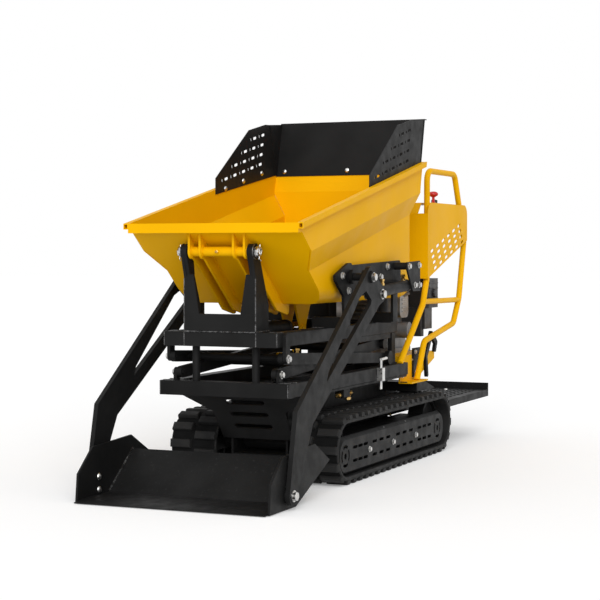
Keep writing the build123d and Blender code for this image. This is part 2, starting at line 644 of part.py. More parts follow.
with BuildPart() as lift_rod:
    shaft(0, along(LIFT_BASE, LIFT_EYE, 60), LIFT_EYE, 14)
    pin(-22, 22, LIFT_EYE[0], LIFT_EYE[1], 20)
lift_rod.part.label = "lift_rod"
export_step(lift_rod.part, "parts/lift_rod.step")

# upper frame

with BuildPart() as upper_side_beams:
    for side in LEFT_RIGHT:
        block(side * (UP_HALF - TUBE), side * UP_HALF, UP_FRONT + TUBE, UP_REAR, UP_Z, UP_TOP)
    fillet(upper_side_beams.edges().filter_by(Axis.Y), radius=4)
upper_side_beams.part.label = "upper_side_beams"
export_step(upper_side_beams.part, "parts/upper_side_beams.step")

TIP_BASE = (NOSE + 70, 560)
with BuildPart() as upper_crossbeams:
    block(-UP_HALF, UP_HALF, UP_FRONT, UP_FRONT + TUBE, UP_Z, UP_TOP)
    inner = UP_HALF - TUBE
    block(-inner, inner, UP_REAR - TUBE, UP_REAR, UP_Z, UP_TOP)
    for side in LEFT_RIGHT:
        strap(side * 34, side * 44, (UP_FRONT + TUBE - 20, 534), TIP_BASE, 40)
    block(-UP_HALF, UP_HALF, UP_FRONT, UP_FRONT + TUBE, UP_TOP, UP_TOP + 60, mode=Mode.SUBTRACT)
    pin(-44, 44, TIP_BASE[0], TIP_BASE[1], 10)
upper_crossbeams.part.label = "upper_crossbeams"
export_step(upper_crossbeams.part, "parts/upper_crossbeams.step")

with BuildPart() as lift_rails:
    for side in LEFT_RIGHT:
        block(side * 188, side * 212, UP_REAR - 424, UP_REAR - 74, UP_Z - 20, UP_Z)
lift_rails.part.label = "lift_rails"
export_step(lift_rails.part, "parts/lift_rails.step")

with BuildPart() as upper_pivots:
    for side in LEFT_RIGHT:
        strap(side * 215, side * 227, B_FRONT, (LIFT_Y, UP_Z + 30), 36)
        pin(side * 194, side * 220, B_FRONT[0], B_FRONT[1], 10)
upper_pivots.part.label = "upper_pivots"
export_step(upper_pivots.part, "parts/upper_pivots.step")

# tip posts: a front plate cut to a wide U on the beam's front edge, side gussets and thick lugs at the pin
POST_X = 136.0
POST_PLATE = 10.0
LUG_INNER = 114.0
LUG_R = 26.0
POST_TOP = TIP_Z - 78
WEB_TOP = UP_TOP + 62
GUSSET_REAR = UP_FRONT + 107
with BuildPart() as tip_posts:
    with BuildSketch(Plane.XZ.offset(-UP_FRONT)):
        with BuildLine():
            Polyline((-POST_X, UP_TOP), (-POST_X, POST_TOP), (-100, POST_TOP), (-79, WEB_TOP), (79, WEB_TOP),
                     (100, POST_TOP), (POST_X, POST_TOP), (POST_X, UP_TOP), close=True)
        make_face()
    extrude(amount=-POST_PLATE)
    for side in LEFT_RIGHT:
        plate(side * (POST_X - POST_PLATE), side * POST_X, [
            (UP_FRONT, UP_TOP), (GUSSET_REAR, UP_TOP), (GUSSET_REAR, UP_TOP + 90), (TIP_Y + LUG_R, TIP_Z),
            (TIP_Y - LUG_R, TIP_Z), (UP_FRONT, POST_TOP - 10)])
        pin(side * LUG_INNER, side * POST_X, TIP_Y, TIP_Z, LUG_R)
        plate(side * LUG_INNER, side * POST_X, [
            (TIP_Y - LUG_R, TIP_Z), (TIP_Y + LUG_R, TIP_Z), (UP_FRONT + 40, POST_TOP), (UP_FRONT, POST_TOP)])
    pin(-POST_X - 1, POST_X + 1, TIP_Y, TIP_Z, 12 + FIT, mode=Mode.SUBTRACT)
tip_posts.part.label = "tip_posts"
export_step(tip_posts.part, "parts/tip_posts.step")

with BuildPart() as tip_pin:
    pin(-POST_X - 13, POST_X + 13, TIP_Y, TIP_Z, 12)
    for side in LEFT_RIGHT:
        pin(side * (POST_X + 0.2), side * (POST_X + 3.2), TIP_Y, TIP_Z, 18)
tip_pin.part.label = "tip_pin"
export_step(tip_pin.part, "parts/tip_pin.step")

OUTRIGGERS = (NOSE + 410, NOSE + 910)
with BuildPart() as outriggers:
    for side in LEFT_RIGHT:
        for y in OUTRIGGERS:
            block(side * 166, side * MOUNT_X, y - 20, y + 20, UP_TOP, UP_TOP + 40)
outriggers.part.label = "outriggers"
export_step(outriggers.part, "parts/outriggers.step")

with BuildPart() as hopper_rests:
    for side in LEFT_RIGHT:
        with Locations((side * 190, HOPPER_REAR - 108, UP_TOP)):
            Cylinder(22, FLOOR_Z - UP_TOP - 0.3, align=(Align.CENTER, Align.CENTER, Align.MIN))
hopper_rests.part.label = "hopper_rests"
export_step(hopper_rests.part, "parts/hopper_rests.step")

RAM_BASE = (NOSE + 967, 700)
RAM_EYE = (NOSE + 556, 675)
with BuildPart() as loader_mounts:
    for side in LEFT_RIGHT:
        plate(side * MOUNT_X, side * (MOUNT_X + MOUNT_PLATE), [
            (NOSE + 293, 746), (NOSE + 415, 788), (NOSE + 444, 789), (NOSE + 456, 781), (NOSE + 959, 796),
            (NOSE + 970, 785), (NOSE + 970, 735), (NOSE + 995, 715), (NOSE + 995, 676), (NOSE + 935, 668),
            (NOSE + 935, 560), (NOSE + 885, 560), (NOSE + 885, 668), (NOSE + 470, 668), (NOSE + 435, 650),
            (NOSE + 435, 560), (NOSE + 385, 560), (NOSE + 374, 672), (NOSE + 297, 728)])
        plate(side * (RAM_X + 23), side * (RAM_X + 30), [
            (NOSE + 880, 764), (NOSE + 880, 789), (NOSE + 1026, 794), (NOSE + 1032, 676), (NOSE + 945, 676)])
        inner = side * (MOUNT_X + MOUNT_PLATE)
        outer = side * (RAM_X + 23)
        pin(inner, outer, RAM_BASE[0], RAM_BASE[1], 10)
        pin(inner, outer, NOSE + 905, 774, 14)
        pin(inner, side * (ARM_X + ARM_PLATE + 12), ARM_Y, ARM_Z, ARM_PIN)
        pin(inner, side * (RAM_X - 18), ARM_Y, ARM_Z, ARM_PIN + 12)
        pin(side * (RAM_X + 18), side * (ARM_X - 1), ARM_Y, ARM_Z, ARM_PIN + 12)
        pin(side * (ARM_X + ARM_PLATE + 0.6), side * (ARM_X + ARM_PLATE + 8), ARM_Y, ARM_Z, ARM_PIN + 8)
loader_mounts.part.label = "loader_mounts"
export_step(loader_mounts.part, "parts/loader_mounts.step")

# loader cylinders

RAM_GLAND = math.dist(RAM_BASE, RAM_EYE) - ROD_SHOWN
with BuildPart() as loader_barrels:
    for side in LEFT_RIGHT:
        x = side * RAM_X
        shaft(x, along(RAM_BASE, RAM_EYE, 12), along(RAM_BASE, RAM_EYE, RAM_GLAND), 22)
        pin(x - 17, x + 17, RAM_BASE[0], RAM_BASE[1], 20)
        shaft(x, along(RAM_BASE, RAM_EYE, 36), along(RAM_BASE, RAM_EYE, RAM_GLAND + 1), 12.3,
              mode=Mode.SUBTRACT)
        pin(x - 18, x + 18, RAM_BASE[0], RAM_BASE[1], 10 + FIT, mode=Mode.SUBTRACT)
loader_barrels.part.label = "loader_barrels"
export_step(loader_barrels.part, "parts/loader_barrels.step")

with BuildPart() as loader_rods:
    for side in LEFT_RIGHT:
        x = side * RAM_X
        shaft(x, along(RAM_BASE, RAM_EYE, 52), RAM_EYE, 12)
        pin(x - 16, x + 16, RAM_EYE[0], RAM_EYE[1], 21)
loader_rods.part.label = "loader_rods"
export_step(loader_rods.part, "parts/loader_rods.step")

# hopper

WALL_TOP = (NOSE - 62, 900)
WALL_FOOT = (NOSE + 262, FLOOR_Z)
REAR_FOOT = (HOPPER_REAR - 28, FLOOR_Z)
REAR_KINK = (HOPPER_REAR - 28, 1075)
REAR_RIM = (HOPPER_REAR, rim_z(HOPPER_REAR))


def inset(points, gap):
    """The open (y, z) line moved inward by a gap."""
    moved = []
    for first, last in zip(points, points[1:]):
        run = last[0] - first[0]
        rise = last[1] - first[1]
        length = math.hypot(run, rise)
        moved.append(((first[0] - rise / length * gap, first[1] + run / length * gap), (run, rise)))
    line = [moved[0][0]]
    for (one, way), (two, turn) in zip(moved, moved[1:]):
        cross = way[0] * turn[1] - way[1] * turn[0]
        reach = ((two[0] - one[0]) * turn[1] - (two[1] - one[1]) * turn[0]) / cross
        line.append((one[0] + way[0] * reach, one[1] + way[1] * reach))
    last_start, last_way = moved[-1]
    line.append((last_start[0] + last_way[0], last_start[1] + last_way[1]))
    return line


OUTLINE = [WALL_TOP, WALL_FOOT, REAR_FOOT, REAR_KINK, REAR_RIM]
INLINE = inset(OUTLINE, SHEET)
CORNER_R = 60.0
CORNER_X = BAND_HALF - CHAMFER_IN - CORNER_R
CORNER_Z = FLOOR_Z + CORNER_R
SECTION = [(BAND_HALF, 0), (BAND_HALF, -BAND_HEIGHT), (BAND_HALF - CHAMFER_IN, -BAND_HEIGHT - CHAMFER_DOWN),
           (BAND_HALF - CHAMFER_IN, -700)]
RIM_WAY = (0, 1, RIM_RISE)
RIM_STEP = math.hypot(1, RIM_RISE)


def hopper_section(gap):
    """Half of the hopper's section at its front rim, from the rim down, moved inward by a gap."""
    return [(x - gap, RIM_Z + drop) for x, drop in SECTION]


with BuildPart() as hopper_side_left:
    with BuildSketch(Plane.XZ.offset(-RIM_FRONT)):
        with BuildLine():
            Polyline(*hopper_section(0), *reversed(hopper_section(SHEET)), close=True)
        make_face()
        with Locations((BAND_HALF + 9, RIM_Z - 10)):
            Rectangle(18, 20)
            Rectangle(12, 14, mode=Mode.SUBTRACT)
    extrude(amount=(HOPPER_LENGTH + 44) * RIM_STEP, dir=RIM_WAY)
    block(CORNER_X, BAND_HALF, RIM_FRONT, HOPPER_REAR, FLOOR_Z - 200, CORNER_Z, mode=Mode.SUBTRACT)
    with BuildSketch(Plane.XZ.offset(-RIM_FRONT)):
        with Locations((CORNER_X, CORNER_Z)):
            Circle(CORNER_R)
            Circle(CORNER_R - SHEET, mode=Mode.SUBTRACT)
            Rectangle(CORNER_R, CORNER_R, align=(Align.MIN, Align.MAX), mode=Mode.INTERSECT)
    extrude(amount=-HOPPER_LENGTH)
    with BuildSketch(Plane.YZ.offset(CORNER_X)):
        with BuildLine():
            Polyline((RIM_FRONT, RIM_Z + 40), (RIM_FRONT, 893), (WALL_TOP[0], 893), WALL_TOP, WALL_FOOT,
                     REAR_FOOT, REAR_KINK, REAR_RIM, (REAR_RIM[0] + 12, REAR_RIM[1] + 40), close=True)
        make_face()
    extrude(amount=200, mode=Mode.INTERSECT)
hopper_side_left.part.label = "hopper_side_left"
export_step(hopper_side_left.part, "parts/hopper_side_left.step")

with BuildPart() as hopper_side_right:
    mirror(hopper_side_left.part, about=Plane.YZ)
hopper_side_right.part.label = "hopper_side_right"
export_step(hopper_side_right.part, "parts/hopper_side_right.step")

# front wall, floor and rear wall in one folded sheet, with the lip along the front
with BuildPart() as hopper_pan:
    with BuildSketch(Plane.YZ.offset(-BAND_HALF)):
        with BuildLine():
            Polyline(*OUTLINE, *reversed(INLINE), close=True)
        make_face()
    extrude(amount=2 * BAND_HALF)
    block(-BAND_HALF, BAND_HALF, RIM_FRONT, WALL_TOP[0] + 4, 893, RIM_Z)
    with BuildSketch(Plane.XZ.offset(-RIM_FRONT + 20)):
        inner_side = hopper_section(SHEET)
        with BuildLine():
            Polyline(*inner_side, *[(-x, z) for x, z in reversed(inner_side)], close=True)
        make_face()
    extrude(amount=(HOPPER_LENGTH + 84) * RIM_STEP, dir=RIM_WAY, mode=Mode.INTERSECT)
    for side in LEFT_RIGHT:
        with BuildSketch(Plane.XZ.offset(-RIM_FRONT)):
            with Locations((side * CORNER_X, CORNER_Z)):
                Rectangle(2 * CORNER_R, 2 * CORNER_R,
                          align=(Align.MIN if side > 0 else Align.MAX, Align.MAX))
                Circle(CORNER_R - SHEET, mode=Mode.SUBTRACT)
        extrude(amount=-HOPPER_LENGTH, mode=Mode.SUBTRACT)
hopper_pan.part.label = "hopper_pan"
export_step(hopper_pan.part, "parts/hopper_pan.step")

# ears from the top of the front wall, round the pivot tube and down to a round foot under the floor
EAR_XS = (63, 104)
EAR_PLATE = 8.0
EAR_PROUD = 46.0
EAR_FOOT_R = 20.0
EAR_FOOT_Y = WALL_FOOT[0] + 40


def proud(distance, height):
    """The (y, z) point a height in front of the hopper's front wall, a distance down from its top."""
    foot = along(WALL_TOP, WALL_FOOT, distance)
    length = math.dist(WALL_TOP, WALL_FOOT)
    run = (WALL_FOOT[0] - WALL_TOP[0]) / length
    rise = (WALL_FOOT[1] - WALL_TOP[1]) / length
    return (foot[0] + rise * height, foot[1] - run * height)


with BuildPart() as pivot_tube:
    pin(-112, 112, TIP_Y, TIP_Z, 17)
    for side in LEFT_RIGHT:
        for x in EAR_XS:
            x0 = side * (x - EAR_PLATE / 2)
            x1 = side * (x + EAR_PLATE / 2)
            plate(x0, x1, [proud(14, 0), proud(52, EAR_PROUD), proud(390, EAR_PROUD),
                           (EAR_FOOT_Y, FLOOR_Z - 2 * EAR_FOOT_R),
                           (EAR_FOOT_Y + EAR_FOOT_R, FLOOR_Z - EAR_FOOT_R),
                           (EAR_FOOT_Y + EAR_FOOT_R, FLOOR_Z), WALL_FOOT])
            pin(x0, x1, EAR_FOOT_Y, FLOOR_Z - EAR_FOOT_R, EAR_FOOT_R)
            pin(x0, x1, TIP_Y, TIP_Z, 26)
    pin(-118, 118, TIP_Y, TIP_Z, 12 + FIT, mode=Mode.SUBTRACT)
pivot_tube.part.label = "pivot_tube"
export_step(pivot_tube.part, "parts/pivot_tube.step")

# ribs under the hopper that take the tipping cylinder
TIP_EYE = (NOSE + 620, 545)
with BuildPart() as hopper_ribs:
    for side in LEFT_RIGHT:
        plate(side * 26, side * 34, [(NOSE + 540, FLOOR_Z), (NOSE + 700, FLOOR_Z), (TIP_EYE[0] + 20, 540),
                                     (TIP_EYE[0] - 20, 540)])
        pin(side * 26, side * 34, TIP_EYE[0], TIP_EYE[1], 22)
        pin(side * 34, side * 40, TIP_EYE[0], TIP_EYE[1], 15)
hopper_ribs.part.label = "hopper_ribs"
export_step(hopper_ribs.part, "parts/hopper_ribs.step")

# black spill guard inside the rear of the hopper: slotted sides and a back plate with a folded top edge
SPILL = [
    (HOPPER_REAR - 584, 1048), (HOPPER_REAR - 584, 1110), (HOPPER_REAR - 284, 1314),
    (HOPPER_REAR - 125, 1347),
    (HOPPER_REAR - 18, 1350), (HOPPER_REAR - 18, 1146),
]
SPILL_TOP = 1362.0
SPILL_SHEET = 3.0
SLOT_RISE = 0.225
SLOT_PITCH = 79.0
lean = (REAR_RIM[0] - REAR_KINK[0]) / (REAR_RIM[1] - REAR_KINK[1])


def spill_slots(row):
    """Places of the long slots in a row, counted from the top, the last one first."""
    last = (HOPPER_REAR - 150 - 8.7 * row, 1303 - 40 * row)
    return [(last[0] - SLOT_PITCH * step, last[1] - SLOT_PITCH * SLOT_RISE * step)
            for step in range(row + 2)]


with BuildPart() as spill_guard:
    for side in LEFT_RIGHT:
        outer = side * (BAND_HALF - SHEET)
        plate(outer - side * SPILL_SHEET, outer, SPILL)
        with BuildSketch(Plane.YZ.offset(min(outer, outer - side * SPILL_SHEET) - 1)) as holes:
            for row in range(4):
                for y, z in spill_slots(row):
                    tilt = math.degrees(math.atan(SLOT_RISE))
                    with Locations(Location((y, z), tilt)):
                        SlotOverall(33, 11)
                    with Locations(Location((y - 36, z - 36 * SLOT_RISE), tilt)):
                        Rectangle(9, 11)
        extrude(holes.sketch, amount=SPILL_SHEET + 2, mode=Mode.SUBTRACT)
    back_low = (REAR_KINK[0] - SHEET * 1.05 + lean * (1140 - REAR_KINK[1]), 1140)
    back_top = (REAR_KINK[0] - SHEET * 1.05 + lean * (SPILL_TOP - REAR_KINK[1]), SPILL_TOP)
    plate(-BAND_HALF + SHEET + 0.5, BAND_HALF - SHEET - 0.5, [
        back_low, (back_top[0] - lean * SPILL_SHEET, SPILL_TOP - SPILL_SHEET),
        (back_top[0] + 22, SPILL_TOP - SPILL_SHEET), (back_top[0] + 22, SPILL_TOP),
        (back_top[0] - SPILL_SHEET, SPILL_TOP), (back_low[0] - SPILL_SHEET, back_low[1])])
spill_guard.part.label = "spill_guard"
export_step(spill_guard.part, "parts/spill_guard.step")

# tipping cylinder

with BuildPart() as tip_barrel:
    gland = math.dist(TIP_BASE, TIP_EYE) - ROD_SHOWN
    shaft(0, along(TIP_BASE, TIP_EYE, 12), along(TIP_BASE, TIP_EYE, gland), 27)
    pin(-30, 30, TIP_BASE[0], TIP_BASE[1], 20)
    shaft(0, along(TIP_BASE, TIP_EYE, 40), along(TIP_BASE, TIP_EYE, gland + 1), 15.3, mode=Mode.SUBTRACT)
    pin(-31, 31, TIP_BASE[0], TIP_BASE[1], 10 + FIT, mode=Mode.SUBTRACT)
tip_barrel.part.label = "tip_barrel"
export_step(tip_barrel.part, "parts/tip_barrel.step")

with BuildPart() as tip_rod:
    shaft(0, along(TIP_BASE, TIP_EYE, 60), TIP_EYE, 15)
    pin(-24, 24, TIP_EYE[0], TIP_EYE[1], 20)
tip_rod.part.label = "tip_rod"
export_step(tip_rod.part, "parts/tip_rod.step")

# loader

ARM_OUTLINE = [
    (TOE_Y - 32, TOE_Z), (NOSE - 224, 314), (ARM_Y - 20, ARM_Z + 32), (ARM_Y + 10, ARM_Z + 36),
    (ARM_Y + 38, ARM_Z + 8), (RAM_EYE[0] + 22, RAM_EYE[1] + 20), (RAM_EYE[0] + 30, RAM_EYE[1] - 20),
    (NOSE + 525, 634), (NOSE - 94, 264), (TOE_Y + 32, TOE_Z),
]
ARM_GAP = [
    (NOSE + 40, 425), (NOSE + 24, 392), (NOSE + 440, 641), (NOSE + 446, 656), (NOSE + 392, 690),
    (NOSE + 330, 668),
]
with BuildPart() as loader_arms:
    for side in LEFT_RIGHT:
        x0 = side * ARM_X
        x1 = side * (ARM_X + ARM_PLATE)
        plate(x0, x1, ARM_OUTLINE)
        pin(x0, x1, TOE_Y, TOE_Z, 32)
        pin(x0, x1, ARM_Y, ARM_Z, 38)
        pin(x0, x1, RAM_EYE[0], RAM_EYE[1], 30)
        plate(x0 - side, x1 + side, ARM_GAP, mode=Mode.SUBTRACT)
        pin(x0 - side, x1 + side, ARM_Y, ARM_Z, ARM_PIN + FIT, mode=Mode.SUBTRACT)
        pin(side * (SHOVEL_HALF), x0, TOE_Y, TOE_Z, 24)
        pin(side * (RAM_X + 18), x0, RAM_EYE[0], RAM_EYE[1], 14)
        pin(x1, x1 + side * 10, TOE_Y, TOE_Z, 14)
        pin(x1, x1 + side * 7, RAM_EYE[0], RAM_EYE[1], 15)
loader_arms.part.label = "loader_arms"
export_step(loader_arms.part, "parts/loader_arms.step")

SHOVEL_FOLD = (NOSE - 180, 2)
SHOVEL_BACK = (NOSE - 8, 135)
SHOVEL_TAIL = (NOSE + 108, 121)
with BuildPart() as shovel_pan:
    inner = SHOVEL_HALF - SHOVEL_PLATE
    plate(-inner, inner, [
        (SHOVEL_EDGE, 2), SHOVEL_FOLD, SHOVEL_BACK, (SHOVEL_BACK[0] - 6, SHOVEL_BACK[1] + 5),
        (SHOVEL_FOLD[0] - 4, 10), (SHOVEL_EDGE + 60, 10), (SHOVEL_EDGE, 5)])
shovel_pan.part.label = "shovel_pan"
export_step(shovel_pan.part, "parts/shovel_pan.step")

with BuildPart() as shovel_sides:
    for side in LEFT_RIGHT:
        plate(side * (SHOVEL_HALF - SHOVEL_PLATE), side * SHOVEL_HALF, [
            (SHOVEL_EDGE + 20, 2), (NOSE - 380, 95), (NOSE - 285, 175), (NOSE - 21, 189),
            SHOVEL_TAIL, SHOVEL_FOLD])
shovel_sides.part.label = "shovel_sides"
export_step(shovel_sides.part, "parts/shovel_sides.step")
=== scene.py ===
import json
import math

import bpy
import bmesh
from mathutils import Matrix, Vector


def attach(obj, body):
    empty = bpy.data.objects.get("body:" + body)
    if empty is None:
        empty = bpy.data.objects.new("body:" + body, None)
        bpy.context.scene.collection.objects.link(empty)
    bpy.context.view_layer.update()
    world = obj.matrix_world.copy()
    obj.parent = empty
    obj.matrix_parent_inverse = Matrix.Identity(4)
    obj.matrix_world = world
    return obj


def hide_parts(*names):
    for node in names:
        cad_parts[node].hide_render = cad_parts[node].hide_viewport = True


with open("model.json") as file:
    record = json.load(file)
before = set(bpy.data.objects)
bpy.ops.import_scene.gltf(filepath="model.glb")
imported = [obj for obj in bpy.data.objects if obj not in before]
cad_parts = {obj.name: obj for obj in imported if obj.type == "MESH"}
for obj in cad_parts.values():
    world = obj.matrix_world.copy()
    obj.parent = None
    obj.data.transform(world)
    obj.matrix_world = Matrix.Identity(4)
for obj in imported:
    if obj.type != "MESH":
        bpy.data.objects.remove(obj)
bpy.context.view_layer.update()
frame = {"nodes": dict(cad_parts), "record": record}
nodes = frame["nodes"]
scene = bpy.context.scene
scene.view_settings.view_transform = "Standard"

# Sizes are in millimetres. Y is counted from the nose, the front face of the lower frame.
NOSE = -870.0
BOTH_SIDES = (1, -1)
UP = (0, 0, 1)
DOWN = (0, 0, -1)
FORWARD = (0, -1, 0)
BACK = (0, 1, 0)
LEFT = (1, 0, 0)
RIGHT = (-1, 0, 0)


def at(x, y, z):
    """The point in metres, in the frame of the parts."""
    return Vector((x, NOSE + y, z)) / 1000


# materials

# The middle of a noise's range, which a tone or a gloss runs over
NOISE_LOW = 0.35
NOISE_HIGH = 0.65
# Patches of gloss are this many times finer than those of tone
GLOSS_FINER = 3
GRAIN_DEPTH = 0.001
GRAIN_DETAIL = 3.0
# Thin marks along Y, where the worn colour shows through by half
MARK_SCALE = 9.0
MARK_DETAIL = 6.0
MARK_STRETCH = (14, 1, 14)
MARK_SHARE = 0.5
MARK_LOW = 0.62
MARK_HIGH = 0.74


def noise(tree, scale, detail=4.0, stretch=(1, 1, 1)):
    """Noise from 0 to 1 that keeps its place on the piece."""
    place = tree.nodes.new("ShaderNodeTexCoord")
    mapping = tree.nodes.new("ShaderNodeMapping")
    mapping.inputs["Scale"].default_value = stretch
    texture = tree.nodes.new("ShaderNodeTexNoise")
    texture.inputs["Scale"].default_value = scale
    texture.inputs["Detail"].default_value = detail
    tree.links.new(place.outputs["Object"], mapping.inputs["Vector"])
    tree.links.new(mapping.outputs["Vector"], texture.inputs["Vector"])
    return texture.outputs[0]


def spread(tree, value, low, high, start=NOISE_LOW, end=NOISE_HIGH):
    """A value from low to high while a noise goes from start to end."""
    node = tree.nodes.new("ShaderNodeMapRange")
    node.inputs["From Min"].default_value = start
    node.inputs["From Max"].default_value = end
    node.inputs["To Min"].default_value = low
    node.inputs["To Max"].default_value = high
    tree.links.new(value, node.inputs["Value"])
    return node.outputs["Result"]


def tones(tree, value, dark, light):
    """A colour from dark to light over the middle of a noise."""
    node = tree.nodes.new("ShaderNodeValToRGB")
    stops = zip(node.color_ramp.elements, (NOISE_LOW, NOISE_HIGH), (dark, light))
    for element, position, color in stops:
        element.position = position
        element.color = (*color, 1)
    tree.links.new(value, node.inputs["Fac"])
    return node.outputs["Color"]


def finish(name, dark, light, rough, patch, grain, metal=0.0, spec=0.5, stretch=(1, 1, 1), worn=None):
    """A finish with patches of tone, uneven gloss and a grain.

    rough is the least and most roughness, patch the scale of the patches, and grain a scale and a strength.
    worn is a colour that shows through in thin marks.
    """
    mat = bpy.data.materials.new(name)
    mat.use_nodes = True
    tree = mat.node_tree
    shader = tree.nodes["Principled BSDF"]
    shader.inputs["Metallic"].default_value = metal
    shader.inputs["Specular IOR Level"].default_value = spec
    color = tones(tree, noise(tree, patch), dark, light)
    if worn:
        mix = tree.nodes.new("ShaderNodeMix")
        mix.data_type = "RGBA"
        marks = noise(tree, MARK_SCALE, MARK_DETAIL, MARK_STRETCH)
        share = spread(tree, marks, 0.0, MARK_SHARE, MARK_LOW, MARK_HIGH)
        tree.links.new(share, mix.inputs["Factor"])
        tree.links.new(color, mix.inputs["A"])
        mix.inputs["B"].default_value = (*worn, 1)
        color = mix.outputs["Result"]
    tree.links.new(color, shader.inputs["Base Color"])
    gloss = noise(tree, patch * GLOSS_FINER, stretch=stretch)
    tree.links.new(spread(tree, gloss, *rough), shader.inputs["Roughness"])
    bump = tree.nodes.new("ShaderNodeBump")
    bump.inputs["Strength"].default_value = grain[1]
    bump.inputs["Distance"].default_value = GRAIN_DEPTH
    tree.links.new(noise(tree, grain[0], GRAIN_DETAIL, stretch), bump.inputs["Height"])
    tree.links.new(bump.outputs["Normal"], shader.inputs["Normal"])
    return mat


def grey(level):
    """A colour with no hue."""
    return (level, level, level)


yellow = finish("yellow_paint", (0.77, 0.395, 0.0), (0.82, 0.425, 0.0), (0.40, 0.52), 3.0, (260, 0.05),
                spec=0.06)
black = finish("black_paint", grey(0.008), grey(0.012), (0.40, 0.54), 7.0, (900, 0.10), spec=0.09)
scuffed = finish("scuffed_black", grey(0.008), grey(0.012), (0.40, 0.56), 7.0, (900, 0.10), spec=0.09,
                 worn=grey(0.04))
weld = finish("weld", grey(0.015), grey(0.16), (0.16, 0.34), 60.0, (700, 0.4), metal=0.7)
track_rubber = finish("track_rubber", grey(0.008), (0.017, 0.0165, 0.016), (0.55, 0.75), 9.0, (350, 0.3),
                      spec=0.2)
# Painted shade: a darker, duller rubber laid on the ground between the track's lugs
track_painted_shade = finish("track_painted_shade", grey(0.003), grey(0.007), (0.75, 0.90), 9.0, (350, 0.3), spec=0.1)
rubber = finish("rubber", grey(0.010), grey(0.016), (0.55, 0.75), 12.0, (500, 0.2), spec=0.3)
chrome = finish("chrome_rod", (0.55, 0.55, 0.57), (0.66, 0.66, 0.68), (0.07, 0.16), 10.0, (300, 0.02),
                metal=1.0, stretch=(8, 1, 8))
zinc = finish("zinc", grey(0.50), (0.70, 0.69, 0.66), (0.24, 0.40), 30.0, (500, 0.06), metal=1.0)
steel = finish("bare_steel", grey(0.22), (0.36, 0.35, 0.34), (0.32, 0.50), 14.0, (400, 0.1), metal=1.0)
engine_metal = finish("engine_metal", grey(0.20), grey(0.30), (0.45, 0.60), 12.0, (320, 0.3), metal=0.8)
plastic = finish("black_plastic", grey(0.010), grey(0.015), (0.42, 0.56), 8.0, (650, 0.25))
red = finish("red_plastic", (0.48, 0.008, 0.008), (0.58, 0.012, 0.012), (0.24, 0.36), 12.0, (300, 0.04))
brass = finish("brass", (0.55, 0.36, 0.12), (0.72, 0.48, 0.18), (0.22, 0.36), 25.0, (500, 0.06), metal=1.0)

BY_SLOT = {
    "yellow_paint": yellow, "black_paint": black, "track_rubber": track_rubber, "rubber": rubber,
    "chrome_rod": chrome, "zinc": zinc, "bare_steel": steel, "engine_metal": engine_metal,
    "black_plastic": plastic, "red_plastic": red,
}
SCUFFED = ("shovel_pan", "platform")
for part in frame["record"]["subparts"]:
    node = nodes[part["node"]]
    node.data.materials.clear()
    node.data.materials.append(scuffed if part["node"] in SCUFFED else BY_SLOT[part["material_slot"]])


# tube and plate edges

EDGE_RADII = {
    "lower_side_beams": 4.0, "lower_crossbeams": 4.0, "upper_side_beams": 4.0, "upper_crossbeams": 4.0,
    "tip_posts": 1.5, "loader_arms": 2.0, "shovel_sides": 1.2, "rest_posts": 1.5, "platform_arms": 3.0,
    "outriggers": 3.0,
}
EDGE_STEPS = 3
EDGE_ANGLE = math.radians(40)
MERGE_METRES = 0.00005
for name, radius in EDGE_RADII.items():
    merge = nodes[name].modifiers.new("merge", "WELD")
    merge.merge_threshold = MERGE_METRES
    edges = nodes[name].modifiers.new("edges", "BEVEL")
    edges.width = radius / 1000
    edges.segments = EDGE_STEPS
    edges.limit_method = "ANGLE"
    edges.angle_limit = EDGE_ANGLE
    shade = nodes[name].modifiers.new("shade", "WEIGHTED_NORMAL")
    shade.keep_sharp = False


# forms

SHARP_ANGLE = math.radians(32)
HEX = 6
# Profiles are (radius, height) pairs. These are shares of the size of a bolt's thread.
WASHER_HEIGHT = 0.16
WASHER = ((0, 0), (1.12, 0), (1.12, WASHER_HEIGHT), (0, WASHER_HEIGHT))
HEXAGON = ((0, 0), (0.92, 0), (0.92, 0.52), (0.80, 0.64), (0, 0.64))
DOME = ((0, 0), (0.95, 0), (0.92, 0.16), (0.72, 0.38), (0.38, 0.50), (0, 0.53))
# A weld bead swells at every other point and draws in between
BEAD_PITCH = 3.5
BEAD_NECK = 0.78
BEAD_SIDES = 7
BEAD_LEAST_STEPS = 4
# Radii of the weld beads
WELD_FINEST = 2.2
WELD_FINE = 2.4
WELD_LIGHT = 2.6
WELD_PLAIN = 3.0
WELD_STOUT = 3.2
WELD_HEAVY = 3.6
WELD_HEAVIEST = 4.0


def skin(mesh, first, last):
    """The faces between two rings that have as many points."""
    faces = []
    for step in range(len(first)):
        following = (step + 1) % len(first)
        faces.append(mesh.faces.new([first[step], first[following], last[following], last[step]]))
    return faces


def turned(mesh, place, axis, profile, sides=20, spin=0.0, flute=0.0):
    """A form turned about an axis from a profile; a flute makes every other side stand out."""
    turn = Vector(UP).rotation_difference(Vector(axis).normalized()).to_matrix()
    rings = []
    for radius, height in profile:
        ring = []
        for step in range(sides if radius else 1):
            angle = 2 * math.pi * step / sides + spin
            reach = radius + (flute * (step % 2) if radius else 0)
            spot = Vector((reach * math.cos(angle), reach * math.sin(angle), height)) / 1000
            ring.append(mesh.verts.new(place + turn @ spot))
        rings.append(ring)
    for first, last in zip(rings, rings[1:]):
        for step in range(max(len(first), len(last))):
            corners = [first[step % len(first)]]
            if len(first) > 1:
                corners.append(first[(step + 1) % len(first)])
            if len(last) > 1:
                corners.append(last[(step + 1) % len(last)])
            corners.append(last[step % len(last)])
            mesh.faces.new(corners)


def scaled(profile, size):
    """A profile given in shares, at its size."""
    return [(radius * size, height * size) for radius, height in profile]


